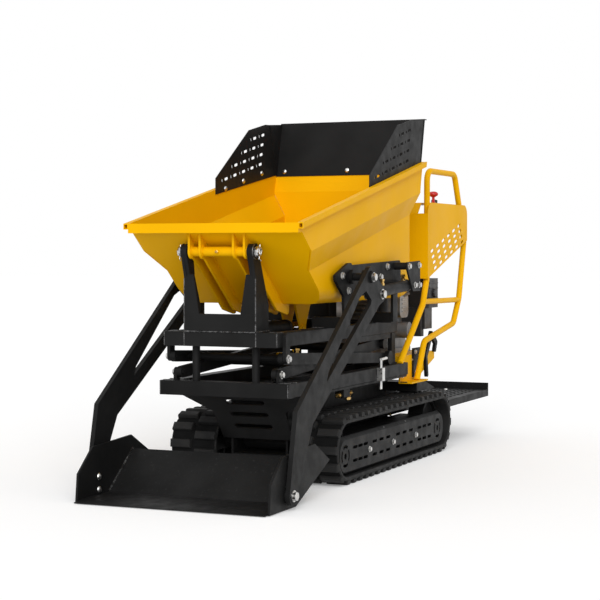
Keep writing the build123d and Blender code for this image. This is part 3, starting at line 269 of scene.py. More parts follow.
def hex_bolt(mesh, place, axis, size, spin=0.3):
    """A washer and a hexagon head with a turned crown for a thread of this size."""
    turned(mesh, place, axis, scaled(WASHER, size), sides=24)
    foot = Vector(axis).normalized() * WASHER_HEIGHT * size / 1000
    turned(mesh, place + foot, axis, scaled(HEXAGON, size), HEX, spin)


def dome_bolt(mesh, place, axis, size):
    """A low round head for a thread of this size."""
    turned(mesh, place, axis, scaled(DOME, size))


def swept(mesh, points, radii, sides):
    """A round form along a line of points, with a radius at each."""
    rings = []
    across = None
    for index, point in enumerate(points):
        ahead = (points[min(index + 1, len(points) - 1)] - points[max(index - 1, 0)]).normalized()
        across = ahead.orthogonal() if across is None else across - ahead * across.dot(ahead)
        across.normalize()
        up = ahead.cross(across)
        ring = []
        for step in range(sides):
            angle = 2 * math.pi * step / sides
            way = across * math.cos(angle) + up * math.sin(angle)
            ring.append(mesh.verts.new(point + way * radii[index] / 1000))
        rings.append(ring)
    for first, last in zip(rings, rings[1:]):
        skin(mesh, first, last)
    mesh.faces.new(rings[0])
    mesh.faces.new(rings[-1])


def rippled(mesh, points, radius):
    """A weld bead along a line of points."""
    radii = [radius * (1.0 if step % 2 else BEAD_NECK) for step in range(len(points))]
    swept(mesh, points, radii, BEAD_SIDES)


def bead(mesh, start, end, radius):
    """A weld bead between two points."""
    count = max(BEAD_LEAST_STEPS, round((end - start).length * 1000 / BEAD_PITCH))
    rippled(mesh, [start.lerp(end, step / count) for step in range(count + 1)], radius)


def upright_bead(mesh, x, y, heights, radius):
    """A weld bead straight up between two heights."""
    low, high = heights
    bead(mesh, at(x, y, low), at(x, y, high), radius)


def cross_bead(mesh, start_x, end_x, y, z, radius):
    """A weld bead along X."""
    bead(mesh, at(start_x, y, z), at(end_x, y, z), radius)


def ring_bead(mesh, centre, ring, radius):
    """A weld bead around a tube or a lug that lies along X."""
    count = round(2 * math.pi * ring / BEAD_PITCH)
    points = []
    for step in range(count + 1):
        angle = 2 * math.pi * step / count
        points.append(centre + Vector((0, math.cos(angle), math.sin(angle))) * ring / 1000)
    rippled(mesh, points, radius)


def bar(mesh, low, high, edge):
    """A bar between two corners with its edges broken."""
    middle = (low + high) / 2
    half = (high - low) / 2
    cut = edge / 1000
    rings = []
    for y, inset in ((-half.y, cut), (-half.y + cut, 0), (half.y - cut, 0), (half.y, cut)):
        x = half.x - inset
        z = half.z - inset
        outline = [(x - cut, z), (x, z - cut), (x, cut - z), (x - cut, -z),
                   (cut - x, -z), (-x, cut - z), (-x, z - cut), (cut - x, z)]
        rings.append([mesh.verts.new(middle + Vector((a, y, b))) for a, b in outline])
    for first, last in zip(rings, rings[1:]):
        skin(mesh, first, last)
    mesh.faces.new(rings[0])
    mesh.faces.new(rings[-1])


def show(name, mesh, body, material, stands_for=(), second=None):
    """Puts a mesh in the scene as one piece that rides a body; second is for faces of material index 1."""
    bmesh.ops.recalc_face_normals(mesh, faces=mesh.faces)
    for face in mesh.faces:
        face.smooth = True
    for edge in mesh.edges:
        edge.smooth = edge.calc_face_angle(0) < SHARP_ANGLE
    data = bpy.data.meshes.new(name)
    mesh.to_mesh(data)
    mesh.free()
    data.materials.append(material)
    if second:
        data.materials.append(second)
    piece = bpy.data.objects.new(name, data)
    scene.collection.objects.link(piece)
    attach(piece, body)
    if stands_for:
        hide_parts(*stands_for)


# tracks

TRACK_OUTER = 328.0
TRACK_WIDTH = 180.0
TRACK_INNER = TRACK_OUTER - TRACK_WIDTH
WHEEL_BASE = 1050.0
WHEEL_Y = 352.0
AXLE_Z = 124.0
BELT = 14.0
BELT_EDGE = 4.0
LUG = 14.0
LUG_COUNT = 46
STAGGER = 0.5
BELT_R = AXLE_Z - LUG
TRACK_TURN = math.pi * BELT_R
TRACK_LOOP = 2 * WHEEL_BASE + 2 * math.pi * BELT_R
RUN_STEPS = 8
TURN_STEPS = 28
# The two columns of lugs, from and to a distance in from the track's outer edge
COLUMNS = ((0.0, 84.0), (96.0, 180.0))
# Each level of a lug: its lift off the belt, its length along the belt and what it loses at each end
LUG_LEVELS = ((-2.0, 30.0, 0.0), (9.0, 28.0, 1.0), (12.5, 25.0, 2.5), (LUG, 20.0, 5.0))
# The belt's section as (x, lift) pairs; its first side is the ground between the lugs, which gets a darker
# material as painted shade
BELT_SECTION = (
    (TRACK_INNER + BELT_EDGE, 0), (TRACK_OUTER - BELT_EDGE, 0),
    (TRACK_OUTER, -BELT_EDGE), (TRACK_OUTER, BELT_EDGE - BELT),
    (TRACK_OUTER - BELT_EDGE, -BELT), (TRACK_INNER + BELT_EDGE, -BELT),
    (TRACK_INNER, BELT_EDGE - BELT), (TRACK_INNER, -BELT_EDGE),
)
# The belt's four stretches: where each starts, its length and its steps
STRETCHES = (
    (0.0, WHEEL_BASE, RUN_STEPS), (WHEEL_BASE, TRACK_TURN, TURN_STEPS),
    (WHEEL_BASE + TRACK_TURN, WHEEL_BASE, RUN_STEPS),
    (2 * WHEEL_BASE + TRACK_TURN, TRACK_TURN, TURN_STEPS),
)


def loop_point(distance, lift):
    """The (y, z) on the belt's loop at a distance along it, lifted off its outer face."""
    distance %= TRACK_LOOP
    reach = BELT_R + lift
    if distance < WHEEL_BASE:
        return WHEEL_Y + distance, AXLE_Z - reach
    distance -= WHEEL_BASE
    if distance < TRACK_TURN:
        angle = distance / BELT_R
        return WHEEL_Y + WHEEL_BASE + reach * math.sin(angle), AXLE_Z - reach * math.cos(angle)
    distance -= TRACK_TURN
    if distance < WHEEL_BASE:
        return WHEEL_Y + WHEEL_BASE - distance, AXLE_Z + reach
    angle = (distance - WHEEL_BASE) / BELT_R
    return WHEEL_Y - reach * math.sin(angle), AXLE_Z + reach * math.cos(angle)


def track_lug(mesh, side, span, middle):
    """One tapered lug across a span of the belt, at a distance along the loop."""
    low, high = span
    levels = []
    for lift, length, loss in LUG_LEVELS:
        near = side * (TRACK_OUTER - high + loss)
        far = side * (TRACK_OUTER - low - loss)
        half = length / 2
        corners = [(near, -half), (far, -half), (far, half), (near, half)]
        levels.append([mesh.verts.new(at(x, *loop_point(middle + step, lift))) for x, step in corners])
    for first, last in zip(levels, levels[1:]):
        skin(mesh, first, last)
    mesh.faces.new(levels[-1])


def track_skin(side):
    """One belt with rounded edges and two staggered columns of tapered lugs."""
    mesh = bmesh.new()
    rings = []
    for start, length, steps in STRETCHES:
        for step in range(steps):
            distance = start + length * step / steps
            points = [at(side * x, *loop_point(distance, lift)) for x, lift in BELT_SECTION]
            rings.append([mesh.verts.new(point) for point in points])
    for first, last in zip(rings, rings[1:] + rings[:1]):
        # The ground between the lugs takes the second material, painted shade that darkens it
        skin(mesh, first, last)[0].material_index = 1
    for column, span in enumerate(COLUMNS):
        for shoe in range(LUG_COUNT):
            track_lug(mesh, side, span, TRACK_LOOP * (shoe + STAGGER * column) / LUG_COUNT)
    return mesh


show("belt_left", track_skin(1), "chassis", track_rubber, ("track_left",), track_painted_shade)
show("belt_right", track_skin(-1), "chassis", track_rubber, ("track_right",), track_painted_shade)


# chassis bolts

TUBE = 50.0
REAR = 1206.0
STEP_FRONT = 1571.0
STEP_REAR = 2150.0
STEP_HALF = 300.0
STEP_Z = 200.0
# Faces that bolts sit on, and the (y, z) places of the bolts
COVER_FACE = 319.0
COVER_LIP = COVER_FACE - 9
LOW_PIVOT_FACE = 202.6
DECK_FACE = 211.0
HOOK_FACE = 219.0
ENGINE_FOOT = 424.0
COVER_BOLTS = ((577, 103), (830, 103), (1091, 103))
COVER_LIP_BOLTS = ((749, 162), (990, 162))
COVER_LIP_WAY = 0.6
LOW_PIVOT = (40, 410)
DECK_BOLTS = ((REAR + 26, 322), (REAR + 26, 382), (REAR + 150, 382), (REAR + 300, 388))
HOOK_BOLTS = ((REAR + 162, 326), (REAR + 162, 414))
# The (x, y) places of the bolts that stand upright
STEP_BOLTS = ((126, STEP_FRONT + 60), (126, STEP_REAR - 90))
ENGINE_BOLTS = ((-103, REAR + 114), (113, REAR + 114), (-103, REAR + 374), (113, REAR + 374))
# Sizes of the threads
COVER_BOLT = 10
COVER_LIP_BOLT = 8
LOW_PIVOT_BOLT = 12
DECK_BOLT = 8
HOOK_BOLT = 9
STEP_BOLT = 9
ENGINE_BOLT = 6

bolts = bmesh.new()
for side in BOTH_SIDES:
    out = (side, 0, 0)
    for spot in COVER_BOLTS:
        hex_bolt(bolts, at(side * COVER_FACE, *spot), out, COVER_BOLT)
    hex_bolt(bolts, at(side * LOW_PIVOT_FACE, *LOW_PIVOT), out, LOW_PIVOT_BOLT)
    for spot in COVER_LIP_BOLTS:
        dome_bolt(bolts, at(side * COVER_LIP, *spot), (side, 0, COVER_LIP_WAY), COVER_LIP_BOLT)
    for spot in DECK_BOLTS:
        hex_bolt(bolts, at(side * DECK_FACE, *spot), out, DECK_BOLT)
    for x, y in STEP_BOLTS:
        dome_bolt(bolts, at(side * x, y, STEP_Z), UP, STEP_BOLT)
for x, y in ENGINE_BOLTS:
    hex_bolt(bolts, at(x, y, ENGINE_FOOT), UP, ENGINE_BOLT)
for spot in HOOK_BOLTS:
    hex_bolt(bolts, at(HOOK_FACE, *spot), LEFT, HOOK_BOLT)
show("bolts_chassis", bolts, "chassis", zinc)


# platform tread

LOZENGE = ((-13, 0), (-7, 2.6), (7, 2.6), (13, 0), (7, -2.6), (-7, -2.6))
# A lozenge's foot and top: the lift and the share of its size
LOZENGE_LEVELS = ((-0.5, 1.0), (1.9, 0.72))
LOZENGE_LEAN = math.radians(45)
TREAD_PITCH = 27.0
TREAD_EDGE = 20.0
TREAD_START = STEP_FRONT + 26

tread = bmesh.new()
columns = int((2 * STEP_HALF - 2 * TREAD_EDGE) // TREAD_PITCH)
rows = int((STEP_REAR - STEP_FRONT - 2 * TREAD_EDGE) // TREAD_PITCH)
for column in range(columns):
    for row in range(rows):
        x = (column - (columns - 1) / 2) * TREAD_PITCH
        y = TREAD_START + row * TREAD_PITCH
        lean = LOZENGE_LEAN if (column + row) % 2 else -LOZENGE_LEAN
        levels = []
        for lift, share in LOZENGE_LEVELS:
            level = []
            for a, b in LOZENGE:
                along_x = share * (a * math.cos(lean) - b * math.sin(lean))
                along_y = share * (a * math.sin(lean) + b * math.cos(lean))
                level.append(tread.verts.new(at(x + along_x, y + along_y, STEP_Z + lift)))
            levels.append(level)
        skin(tread, *levels)
        tread.faces.new(levels[1])
show("step_tread", tread, "chassis", scuffed)


# controls

HOOD_FRONT = REAR + 219
HOOD_TOP = 1035.0
KNOB = (
    (0, 0), (11, 0), (11, 7), (8, 9), (6, 12), (6, 30), (11, 33), (18, 37), (21, 42), (20.5, 47), (17, 52),
    (10, 55), (0, 56),
)
KNOB_PLACE = at(180, HOOD_FRONT + 290, HOOD_TOP)
BOOT_SIDES = 18
BOOT_Z = 910.5
LEVER_XS = (-60, -20, 20, 60)
LEVER_Y = HOOD_FRONT + 331
LEVER_WAY = (0, 15, 105)
LEVER_BOOT = ((17, 0), (17, 4), (12, 7), (15, 10), (10, 14), (13, 17), (8, 22), (6, 34))
GRIP_X = 150
GRIP_Y = HOOD_FRONT + 361
GRIP_WAY = (0, 20, 110)
GRIP_BOOT = ((22, 0), (22, 4), (16, 8), (19, 12), (13, 17), (16, 21), (10, 27), (8, 40))

knob = bmesh.new()
turned(knob, KNOB_PLACE, UP, KNOB, sides=32)
show("stop_button", knob, "chassis", red, ("stop_knob",))

boots = bmesh.new()
for x in LEVER_XS:
    turned(boots, at(x, LEVER_Y, BOOT_Z), LEVER_WAY, LEVER_BOOT, BOOT_SIDES)
for side in BOTH_SIDES:
    turned(boots, at(side * GRIP_X, GRIP_Y, BOOT_Z), GRIP_WAY, GRIP_BOOT, BOOT_SIDES)
show("lever_boots", boots, "chassis", rubber)


# engine

RECOIL = at(-150, REAR + 244, 520)
RECOIL_COVER = (
    (106, -8), (106, 4), (98, 12), (64, 17), (62, 13), (34, 13), (32, 19), (12, 21), (0, 21),
)
SLAT_COUNT = 18
SLAT_R = 3.2
# Metres off the cover's foot, and from its middle to a slat's two ends
SLAT_LIFT = Vector((-0.0145, 0, 0))
SLAT_ENDS = (0.067, 0.092)
PULL_GRIP = (at(-158, REAR + 330, 596), at(-178, REAR + 346, 606), at(-184, REAR + 352, 612))
PULL_RADII = (5, 6, 6)

recoil = bmesh.new()
turned(recoil, RECOIL, RIGHT, RECOIL_COVER, sides=48)
for step in range(SLAT_COUNT):
    angle = 2 * math.pi * step / SLAT_COUNT
    way = Vector((0, math.cos(angle), math.sin(angle)))
    swept(recoil, [RECOIL + SLAT_LIFT + way * end for end in SLAT_ENDS], [SLAT_R, SLAT_R], sides=6)
swept(recoil, PULL_GRIP, PULL_RADII, sides=10)
show("recoil_cover", recoil, "chassis", plastic)

# The engine's cylinder leans forward, and the plug stands on its head
HEAD_LEAN = math.radians(25)
PLUG = at(0, REAR + 113.7, 712.2)
PLUG_WAY = (0, -math.sin(HEAD_LEAN), math.cos(HEAD_LEAN))
PLUG_BODY = ((0, -2), (13, -2), (13, 9), (9, 10), (9, 16), (0, 16))
PLUG_CAP = ((0, 12), (12, 12), (13, 16), (13, 30), (10, 40), (0, 41))
HEAD_BOLTS = ((-52, -40), (52, -40), (-52, 40), (52, 40))
HEAD_BOLT = 7

plug = bmesh.new()
turned(plug, PLUG, PLUG_WAY, PLUG_BODY, HEX)
for x, along in HEAD_BOLTS:
    offset = Vector((x, along * math.cos(HEAD_LEAN), along * math.sin(HEAD_LEAN))) / 1000
    hex_bolt(plug, PLUG + offset, PLUG_WAY, HEAD_BOLT)
show("plug_and_head_bolts", plug, "chassis", steel)

FUEL_CAP = ((28.5, 0), (28.5, 15), (26, 19), (0, 20.5))
FUEL_CAP_PLACE = at(-30, REAR + 359, 737)
OIL_CAP = ((24.5, 0), (24.5, 17), (22, 21), (0, 22.5))
OIL_CAP_PLACE = at(-152, REAR + 50, 642)
CLEANER_KNOB = ((0, 0), (17, 0), (17, 9), (14, 13), (0, 14))
CLEANER_KNOB_PLACE = at(213, REAR + 411, 652)
CLEANER_RIB_X = 214.5
CLEANER_RIB_YS = (REAR + 358, REAR + 466)
CLEANER_RIB_ZS = (608, 630, 674, 696)
CLEANER_RIB_R = 3

caps = bmesh.new()
turned(caps, PLUG, PLUG_WAY, PLUG_CAP, sides=18)
turned(caps, FUEL_CAP_PLACE, UP, FUEL_CAP, sides=40, flute=2.2)
turned(caps, OIL_CAP_PLACE, UP, OIL_CAP, sides=36, flute=2.0)
turned(caps, CLEANER_KNOB_PLACE, LEFT, CLEANER_KNOB, flute=2.0)
for z in CLEANER_RIB_ZS:
    rib = [at(CLEANER_RIB_X, y, z) for y in CLEANER_RIB_YS]
    swept(caps, rib, [CLEANER_RIB_R, CLEANER_RIB_R], sides=8)
show("caps_and_ribs", caps, "chassis", plastic)

LOUVRE_XS = (203, 209)
LOUVRE_YS = (REAR + 36, REAR + 98)
LOUVRE_ZS = (586, 602, 618, 634)
LOUVRE_HALF = 4
LOUVRE_EDGE = 1.6
TAIL_PIPE = ((9, -6), (9, 24), (7.5, 24), (7.5, 6), (0, 6))
TAIL_PIPE_PLACE = at(203, REAR + 66, 652)
TAIL_PIPE_WAY = (1, 0, 0.5)

louvres = bmesh.new()
for z in LOUVRE_ZS:
    low = at(LOUVRE_XS[0], LOUVRE_YS[0], z - LOUVRE_HALF)
    high = at(LOUVRE_XS[1], LOUVRE_YS[1], z + LOUVRE_HALF)
    bar(louvres, low, high, LOUVRE_EDGE)
turned(louvres, TAIL_PIPE_PLACE, TAIL_PIPE_WAY, TAIL_PIPE)
show("muffler_louvres", louvres, "chassis", steel)


# gauge, valve and brass fittings on the chassis

GAUGE_LOW = at(-211, REAR + 40, 470)
GAUGE_HIGH = at(-204, REAR + 60, 590)
GAUGE_EDGE = 2.0
VALVE_LOW = (182, 574, 286)
VALVE_HIGH = (218, 640, 325)
VALVE_EDGE = 3.0
TEE_X = 200
TEE_Z = 298
TEE_BRANCH = 22
TEE_REAR = ((0, -2), (13, -2), (13, 12), (9, 13), (9, 30), (12, 31), (12, 44), (0, 46))
TEE_FRONT = ((0, -2), (12, -2), (12, 10), (8, 11), (8, 20), (0, 20))
TEE_DOWN = ((0, 0), (8, 0), (8, 14), (11, 15), (11, 24), (0, 25))
AXLE_NIPPLE = ((0, -2), (5, -2), (5, 3), (3, 4), (3, 9), (0, 10))
AXLE_NIPPLE_X = 146
AXLE_NIPPLE_YS = (422.0, 1272.0)
AXLE_NIPPLE_Z = 156

gauge = bmesh.new()
bar(gauge, GAUGE_LOW, GAUGE_HIGH, GAUGE_EDGE)
show("level_gauge", gauge, "chassis", zinc)

valve = bmesh.new()
bar(valve, at(*VALVE_LOW), at(*VALVE_HIGH), VALVE_EDGE)
show("valve_block", valve, "chassis", black)

tee = bmesh.new()
turned(tee, at(TEE_X, VALVE_HIGH[1], TEE_Z), BACK, TEE_REAR, HEX)
turned(tee, at(TEE_X, VALVE_LOW[1], TEE_Z), FORWARD, TEE_FRONT, HEX)
turned(tee, at(TEE_X, VALVE_HIGH[1] + TEE_BRANCH, TEE_Z), DOWN, TEE_DOWN, HEX)
for side in BOTH_SIDES:
    for y in AXLE_NIPPLE_YS:
        turned(tee, at(side * AXLE_NIPPLE_X, y, AXLE_NIPPLE_Z), UP, AXLE_NIPPLE, HEX)
show("brass_fittings", tee, "chassis", brass)


# chassis welds

LOW_HALF = 245.0
LOW_INNER = LOW_HALF - TUBE
LOW_TOP = 382.0
LOW_SEAM = (LOW_TOP - TUBE + 2, LOW_TOP - 2)
LOW_CORNERS = (25, 75)
LOCK_ENDS = (847, 873)
DECK_FOOT = 300

welds = bmesh.new()
for side in BOTH_SIDES:
    edge = side * (LOW_HALF - 2)
    for y in LOW_CORNERS:
        upright_bead(welds, side * (LOW_INNER - 0.5), y, LOW_SEAM, WELD_STOUT)
        cross_bead(welds, side * (LOW_INNER + 1), edge, y, LOW_TOP, WELD_FINE)
    upright_bead(welds, edge, 2, LOW_SEAM, WELD_PLAIN)
    cross_bead(welds, edge, side * DECK_FACE, REAR - 1, DECK_FOOT, WELD_FINE)
    for y in LOCK_ENDS:
        upright_bead(welds, side * (LOW_HALF + 0.5), y, LOW_SEAM, WELD_LIGHT)
show("welds_chassis", welds, "chassis", weld)


# upper frame bolts

TIP = (-25.0, 830.0)
POST_X = 136.0
ARM_PIVOT = (443.0, 739.0)
ARM_PIVOT_FACE = 384.0
ARM_PIVOT_BOLT = 15
UP_PIVOT = (40, 465)
UP_PIVOT_FACE = 227.0
UP_PIVOT_BOLT = 13
# The loader mount's inner plate and its outer one, with their bolts
MOUNT_FACE = 298.0
MOUNT_BOLTS = ((356, 744), (415, 690), (816, 773), (744, 734))
MOUNT_BOLT = 12
MOUNT_SPIN = 0.1
OUTER_FACE = 358.0
OUTER_BOLTS = ((899, 774), (1012, 777), (1018, 700), (967, 700))
OUTER_BOLT = 11
# The tip pin's castle nut, and the points of its cotter in metres from the pin, with a bent end
CASTLE = ((0, 0), (19, 0), (19, 9), (17, 10.5), (12.5, 10.5))
CASTLE_CROWN = ((15.5, 9), (15.5, 15), (12, 15))
CASTLE_X = POST_X + 3
CASTLE_SPIN = 0.2
COTTER_X = POST_X + 14.5
COTTER = ((0, 0.004, 0.024), (0, 0, 0), (0, -0.003, -0.025), (0.002, 0.009, -0.031))
COTTER_R = 1.6

fasteners = bmesh.new()
for side in BOTH_SIDES:
    out = (side, 0, 0)
    for spot in MOUNT_BOLTS:
        hex_bolt(fasteners, at(side * MOUNT_FACE, *spot), out, MOUNT_BOLT, MOUNT_SPIN)
    for spot in OUTER_BOLTS:
        hex_bolt(fasteners, at(side * OUTER_FACE, *spot), out, OUTER_BOLT)
    hex_bolt(fasteners, at(side * ARM_PIVOT_FACE, *ARM_PIVOT), out, ARM_PIVOT_BOLT)
    hex_bolt(fasteners, at(side * UP_PIVOT_FACE, *UP_PIVOT), out, UP_PIVOT_BOLT)
    castle = at(side * CASTLE_X, *TIP)
    turned(fasteners, castle, out, CASTLE, HEX, CASTLE_SPIN)
    turned(fasteners, castle, out, CASTLE_CROWN, 2 * HEX, CASTLE_SPIN, flute=1.2)
    cotter = at(side * COTTER_X, *TIP)
    wire = [cotter + Vector((side * x, y, z)) for x, y, z in COTTER]
    swept(fasteners, wire, [COTTER_R] * len(wire), sides=8)
show("bolts_upper_frame", fasteners, "upper_frame", zinc)


# upper frame welds and caps

UP_FRONT = -25.0
UP_REAR = 1164.0
UP_TOP = 555.0
UP_HALF = 215.0
UP_INNER = UP_HALF - TUBE
UP_SEAM = (UP_TOP - TUBE + 2, UP_TOP - 2)
POST_TOP = 752.0
POST_SEAM = (UP_TOP + 4, POST_TOP - 14)
GUSSET_SEAM = (UP_FRONT + 3, UP_FRONT + 104)
POST_LUG_R = 26
# The seam along the foot of the posts' front plate is thinner this far to each side of the middle
THIN_HALF = 68
OUTRIGGERS = (410, 910)
OUTRIGGER_EDGES = (-21, 21)
BEAM_CAP = ((0, -1), (35, -1), (35, 2.4), (32, 3.8), (0, 3.8))

seams = bmesh.new()
for side in BOTH_SIDES:
    edge = side * (UP_HALF - 2)
    upright_bead(seams, side * (UP_INNER - 2), UP_FRONT + TUBE, UP_SEAM, WELD_PLAIN)
    cross_bead(seams, side * (UP_INNER + 1), side * (UP_HALF - 1), UP_FRONT + TUBE, UP_TOP, WELD_FINE)
    gusset = [at(side * (POST_X + 1), y, UP_TOP + 2) for y in GUSSET_SEAM]
    bead(seams, *gusset, WELD_HEAVY)
    cross_bead(seams, side * (THIN_HALF + 2), side * (POST_X - 2), UP_FRONT - 1, UP_TOP + 1, WELD_HEAVY)
    ring_bead(seams, at(side * (POST_X + 0.5), *TIP), POST_LUG_R, WELD_FINEST)
    for y in OUTRIGGERS:
        for step in OUTRIGGER_EDGES:
            cross_bead(seams, side * (UP_INNER + 5), edge, y + step, UP_TOP + 1, WELD_PLAIN)
    upright_bead(seams, edge, UP_FRONT + 2, UP_SEAM, WELD_PLAIN)
    upright_bead(seams, side * POST_X, UP_FRONT, UP_SEAM, WELD_LIGHT)
    upright_bead(seams, side * (POST_X - 1), UP_FRONT + 1, POST_SEAM, WELD_LIGHT)
cross_bead(seams, -THIN_HALF, THIN_HALF, UP_FRONT - 1, UP_TOP + 1, WELD_PLAIN)
show("welds_upper_frame", seams, "upper_frame", weld)

ends = bmesh.new()
for side in BOTH_SIDES:
    end = at(side * (UP_HALF - TUBE / 2), UP_REAR, UP_TOP - TUBE / 2)
    turned(ends, end, BACK, BEAM_CAP, sides=4, spin=math.pi / 4)
show("beam_caps", ends, "upper_frame", plastic)


# scissor bolts and cylinder fittings

SCISSOR_CENTRE = (539.0, 437.5)
SCISSOR_FACE = 221.0
SCISSOR_BOLT = 13
ROD_SHOWN = 82.0
BARREL_SIDES = 32
ELBOW = ((0, 0), (9, 0), (9, 8), (6.5, 9), (6.5, 15), (9, 16), (9, 24), (0, 25))
ELBOW_SINK = 1
# Metres along the barrel: the foot's collar, and the ports from the base and from the open end
COLLAR = 0.024
BASE_PORT = 0.052
END_PORT = 0.048
RAM_EYE = (556.0, 675.0)
RAM_X = 328.0
# Each barrel's body, its places in X, its base pin, its rod's eye and its radius
CYLINDERS = (
    ("lift_barrel", (0.0,), (1000.0, 345.0), (509.3, 435.9), 27.0),
    ("tip_barrel", (0.0,), (70.0, 560.0), (620.0, 545.0), 27.0),
    ("loader_barrel", (RAM_X, -RAM_X), (967.0, 700.0), RAM_EYE, 22.0),
)


def cylinder_fittings(metal, fittings, x, base, eye, radius):
    """A gland nut at a barrel's open end, a collar at its foot and two elbows on its side."""
    run = Vector((0, eye[0] - base[0], eye[1] - base[1]))
    length = run.length
    way = run.normalized()
    start = at(x, *base)
    gland = start + way * (length - ROD_SHOWN) / 1000
    rim = radius + 2.6
    nut = [(radius + 0.6, -26), (rim, -24), (rim, -4), (radius, 0.6), (radius * 0.56, 0.8)]
    turned(metal, gland, way, nut, BARREL_SIDES, flute=0.5)
    rim = radius + 1.6
    collar = [(radius - 1, -10), (rim, -8), (rim, 10), (radius, 13)]
    turned(metal, start + way * COLLAR, way, collar, BARREL_SIDES)
    off = way.cross(Vector(LEFT)).normalized()
    for spot in (BASE_PORT, length / 1000 - ROD_SHOWN / 1000 - END_PORT):
        turned(fittings, start + way * spot + off * (radius - ELBOW_SINK) / 1000, off, ELBOW, HEX)


pins = bmesh.new()
for side in BOTH_SIDES:
    hex_bolt(pins, at(side * SCISSOR_FACE, *SCISSOR_CENTRE), (side, 0, 0), SCISSOR_BOLT)
show("bolts_scissor_a", pins, "scissor_a", zinc)

for body, places, base, eye, radius in CYLINDERS:
    glands = bmesh.new()
    elbows = bmesh.new()
    for x in places:
        cylinder_fittings(glands, elbows, x, base, eye, radius)
    show("glands_" + body, glands, body, black)
    show("elbows_" + body, elbows, body, brass)


# spill guard

SPILL_FACE = 313.0
SPILL_SHEET = 3.0
SPILL_BOLTS = ((667, 1073), (829, 1109), (1003, 1147))
SIDE_REAR = 1150.0
# The back plate's lean, and the point that it leans from
BACK_LEAN = 0.2467
BACK_Y = 1135.8
BACK_Z = 1075
BACK_BOLT_XS = (-278, 0, 278)
BACK_BOLT_Z = 1160
GUARD_BOLT = 11
FLANGE_LOW = 1150
FLANGE_HIGH = 1358


def back_y(z):
    """The y of the spill guard's leaning back plate at a height."""
    return BACK_Y + BACK_LEAN * (z - BACK_Z)


guard_bolts = bmesh.new()
for side in BOTH_SIDES:
    for spot in SPILL_BOLTS:
        dome_bolt(guard_bolts, at(side * SPILL_FACE, *spot), (-side, 0, 0), GUARD_BOLT)
for x in BACK_BOLT_XS:
    place = at(x, back_y(BACK_BOLT_Z) - SPILL_SHEET, BACK_BOLT_Z)
    dome_bolt(guard_bolts, place, (0, -1, BACK_LEAN), GUARD_BOLT)
show("bolts_hopper", guard_bolts, "hopper", zinc)

# Closes the wedge between each upright side plate and the leaning back plate
FLANGE = (
    (SIDE_REAR - 6, FLANGE_LOW), (back_y(FLANGE_LOW), FLANGE_LOW), (back_y(FLANGE_HIGH), FLANGE_HIGH),
    (SIDE_REAR - 70, 1348.5),
)
flanges = bmesh.new()
for side in BOTH_SIDES:
    inner = [flanges.verts.new(at(side * (SPILL_FACE - SPILL_SHEET), *spot)) for spot in FLANGE]
    outer = [flanges.verts.new(at(side * SPILL_FACE, *spot)) for spot in FLANGE]
    flanges.faces.new(inner)
    flanges.faces.new(outer)
    for step in range(len(FLANGE)):
        flanges.faces.new([inner[step], inner[step - 1], outer[step - 1], outer[step]])
show("guard_flanges", flanges, "hopper", black)


# hopper welds and grease nipple

WALL_TOP = Vector((-62.0, 900.0))
WALL_FOOT = Vector((262.0, 645.0))
EAR_FACES = (59.0, 67.0, 100.0, 108.0)
# The seam's distances from the wall's top, from its foot and off its face
EAR_SEAM_TOP = 60
EAR_SEAM_FOOT = 40
EAR_SEAM_LIFT = 1.5
EAR_RING_R = 18.5
NIPPLE_BOSS = ((0, 0), (7, 0), (7, 5), (0, 5))
NIPPLE_BOSS_PLACE = at(0, TIP[0] - 16, TIP[1])
NIPPLE = ((0, 0), (5, 0), (5, 3), (3, 4), (3, 7), (4, 8.5), (2, 11), (0, 11))
NIPPLE_PLACE = at(0, TIP[0] - 20, TIP[1])

ear_welds = bmesh.new()
down = (WALL_FOOT - WALL_TOP).normalized()
off_wall = Vector((down.y, -down.x)) * EAR_SEAM_LIFT
first = WALL_TOP + down * EAR_SEAM_TOP + off_wall
last = WALL_FOOT - down * EAR_SEAM_FOOT + off_wall
for side in BOTH_SIDES:
    for face in EAR_FACES:
        bead(ear_welds, at(side * face, *first), at(side * face, *last), WELD_STOUT)
    for face in EAR_FACES:
        ring_bead(ear_welds, at(side * face, *TIP), EAR_RING_R, WELD_PLAIN)
turned(ear_welds, NIPPLE_BOSS_PLACE, FORWARD, NIPPLE_BOSS, sides=16)
show("welds_hopper", ear_welds, "hopper", yellow)

nipple = bmesh.new()
turned(nipple, NIPPLE_PLACE, FORWARD, NIPPLE, HEX)
show("grease_nipple", nipple, "hopper", brass)


# loader bolts and welds

TOE = (-254.0, 47.0)
ARM_FACE = 376.0
ARM_BOLT = 17
SHOVEL_INNER = 345.0
SHOVEL_BOLTS = ((-246, 26), (-246, 70))
SHOVEL_BOLT = 13
PAN_FOLD = (-182.0, 13.0)
PAN_BACK = (-15.0, 142.0)

heads = bmesh.new()
for side in BOTH_SIDES:
    for spot in (RAM_EYE, TOE):
        hex_bolt(heads, at(side * ARM_FACE, *spot), (side, 0, 0), ARM_BOLT)
    for spot in SHOVEL_BOLTS:
        dome_bolt(heads, at(side * SHOVEL_INNER, *spot), (-side, 0, 0), SHOVEL_BOLT)
show("bolts_loader", heads, "loader", zinc)

pan_seams = bmesh.new()
for side in BOTH_SIDES:
    x = side * (SHOVEL_INNER - 1)
    bead(pan_seams, at(x, *PAN_FOLD), at(x, *PAN_BACK), WELD_HEAVIEST)
show("welds_loader", pan_seams, "loader", weld)


# floor, light and camera

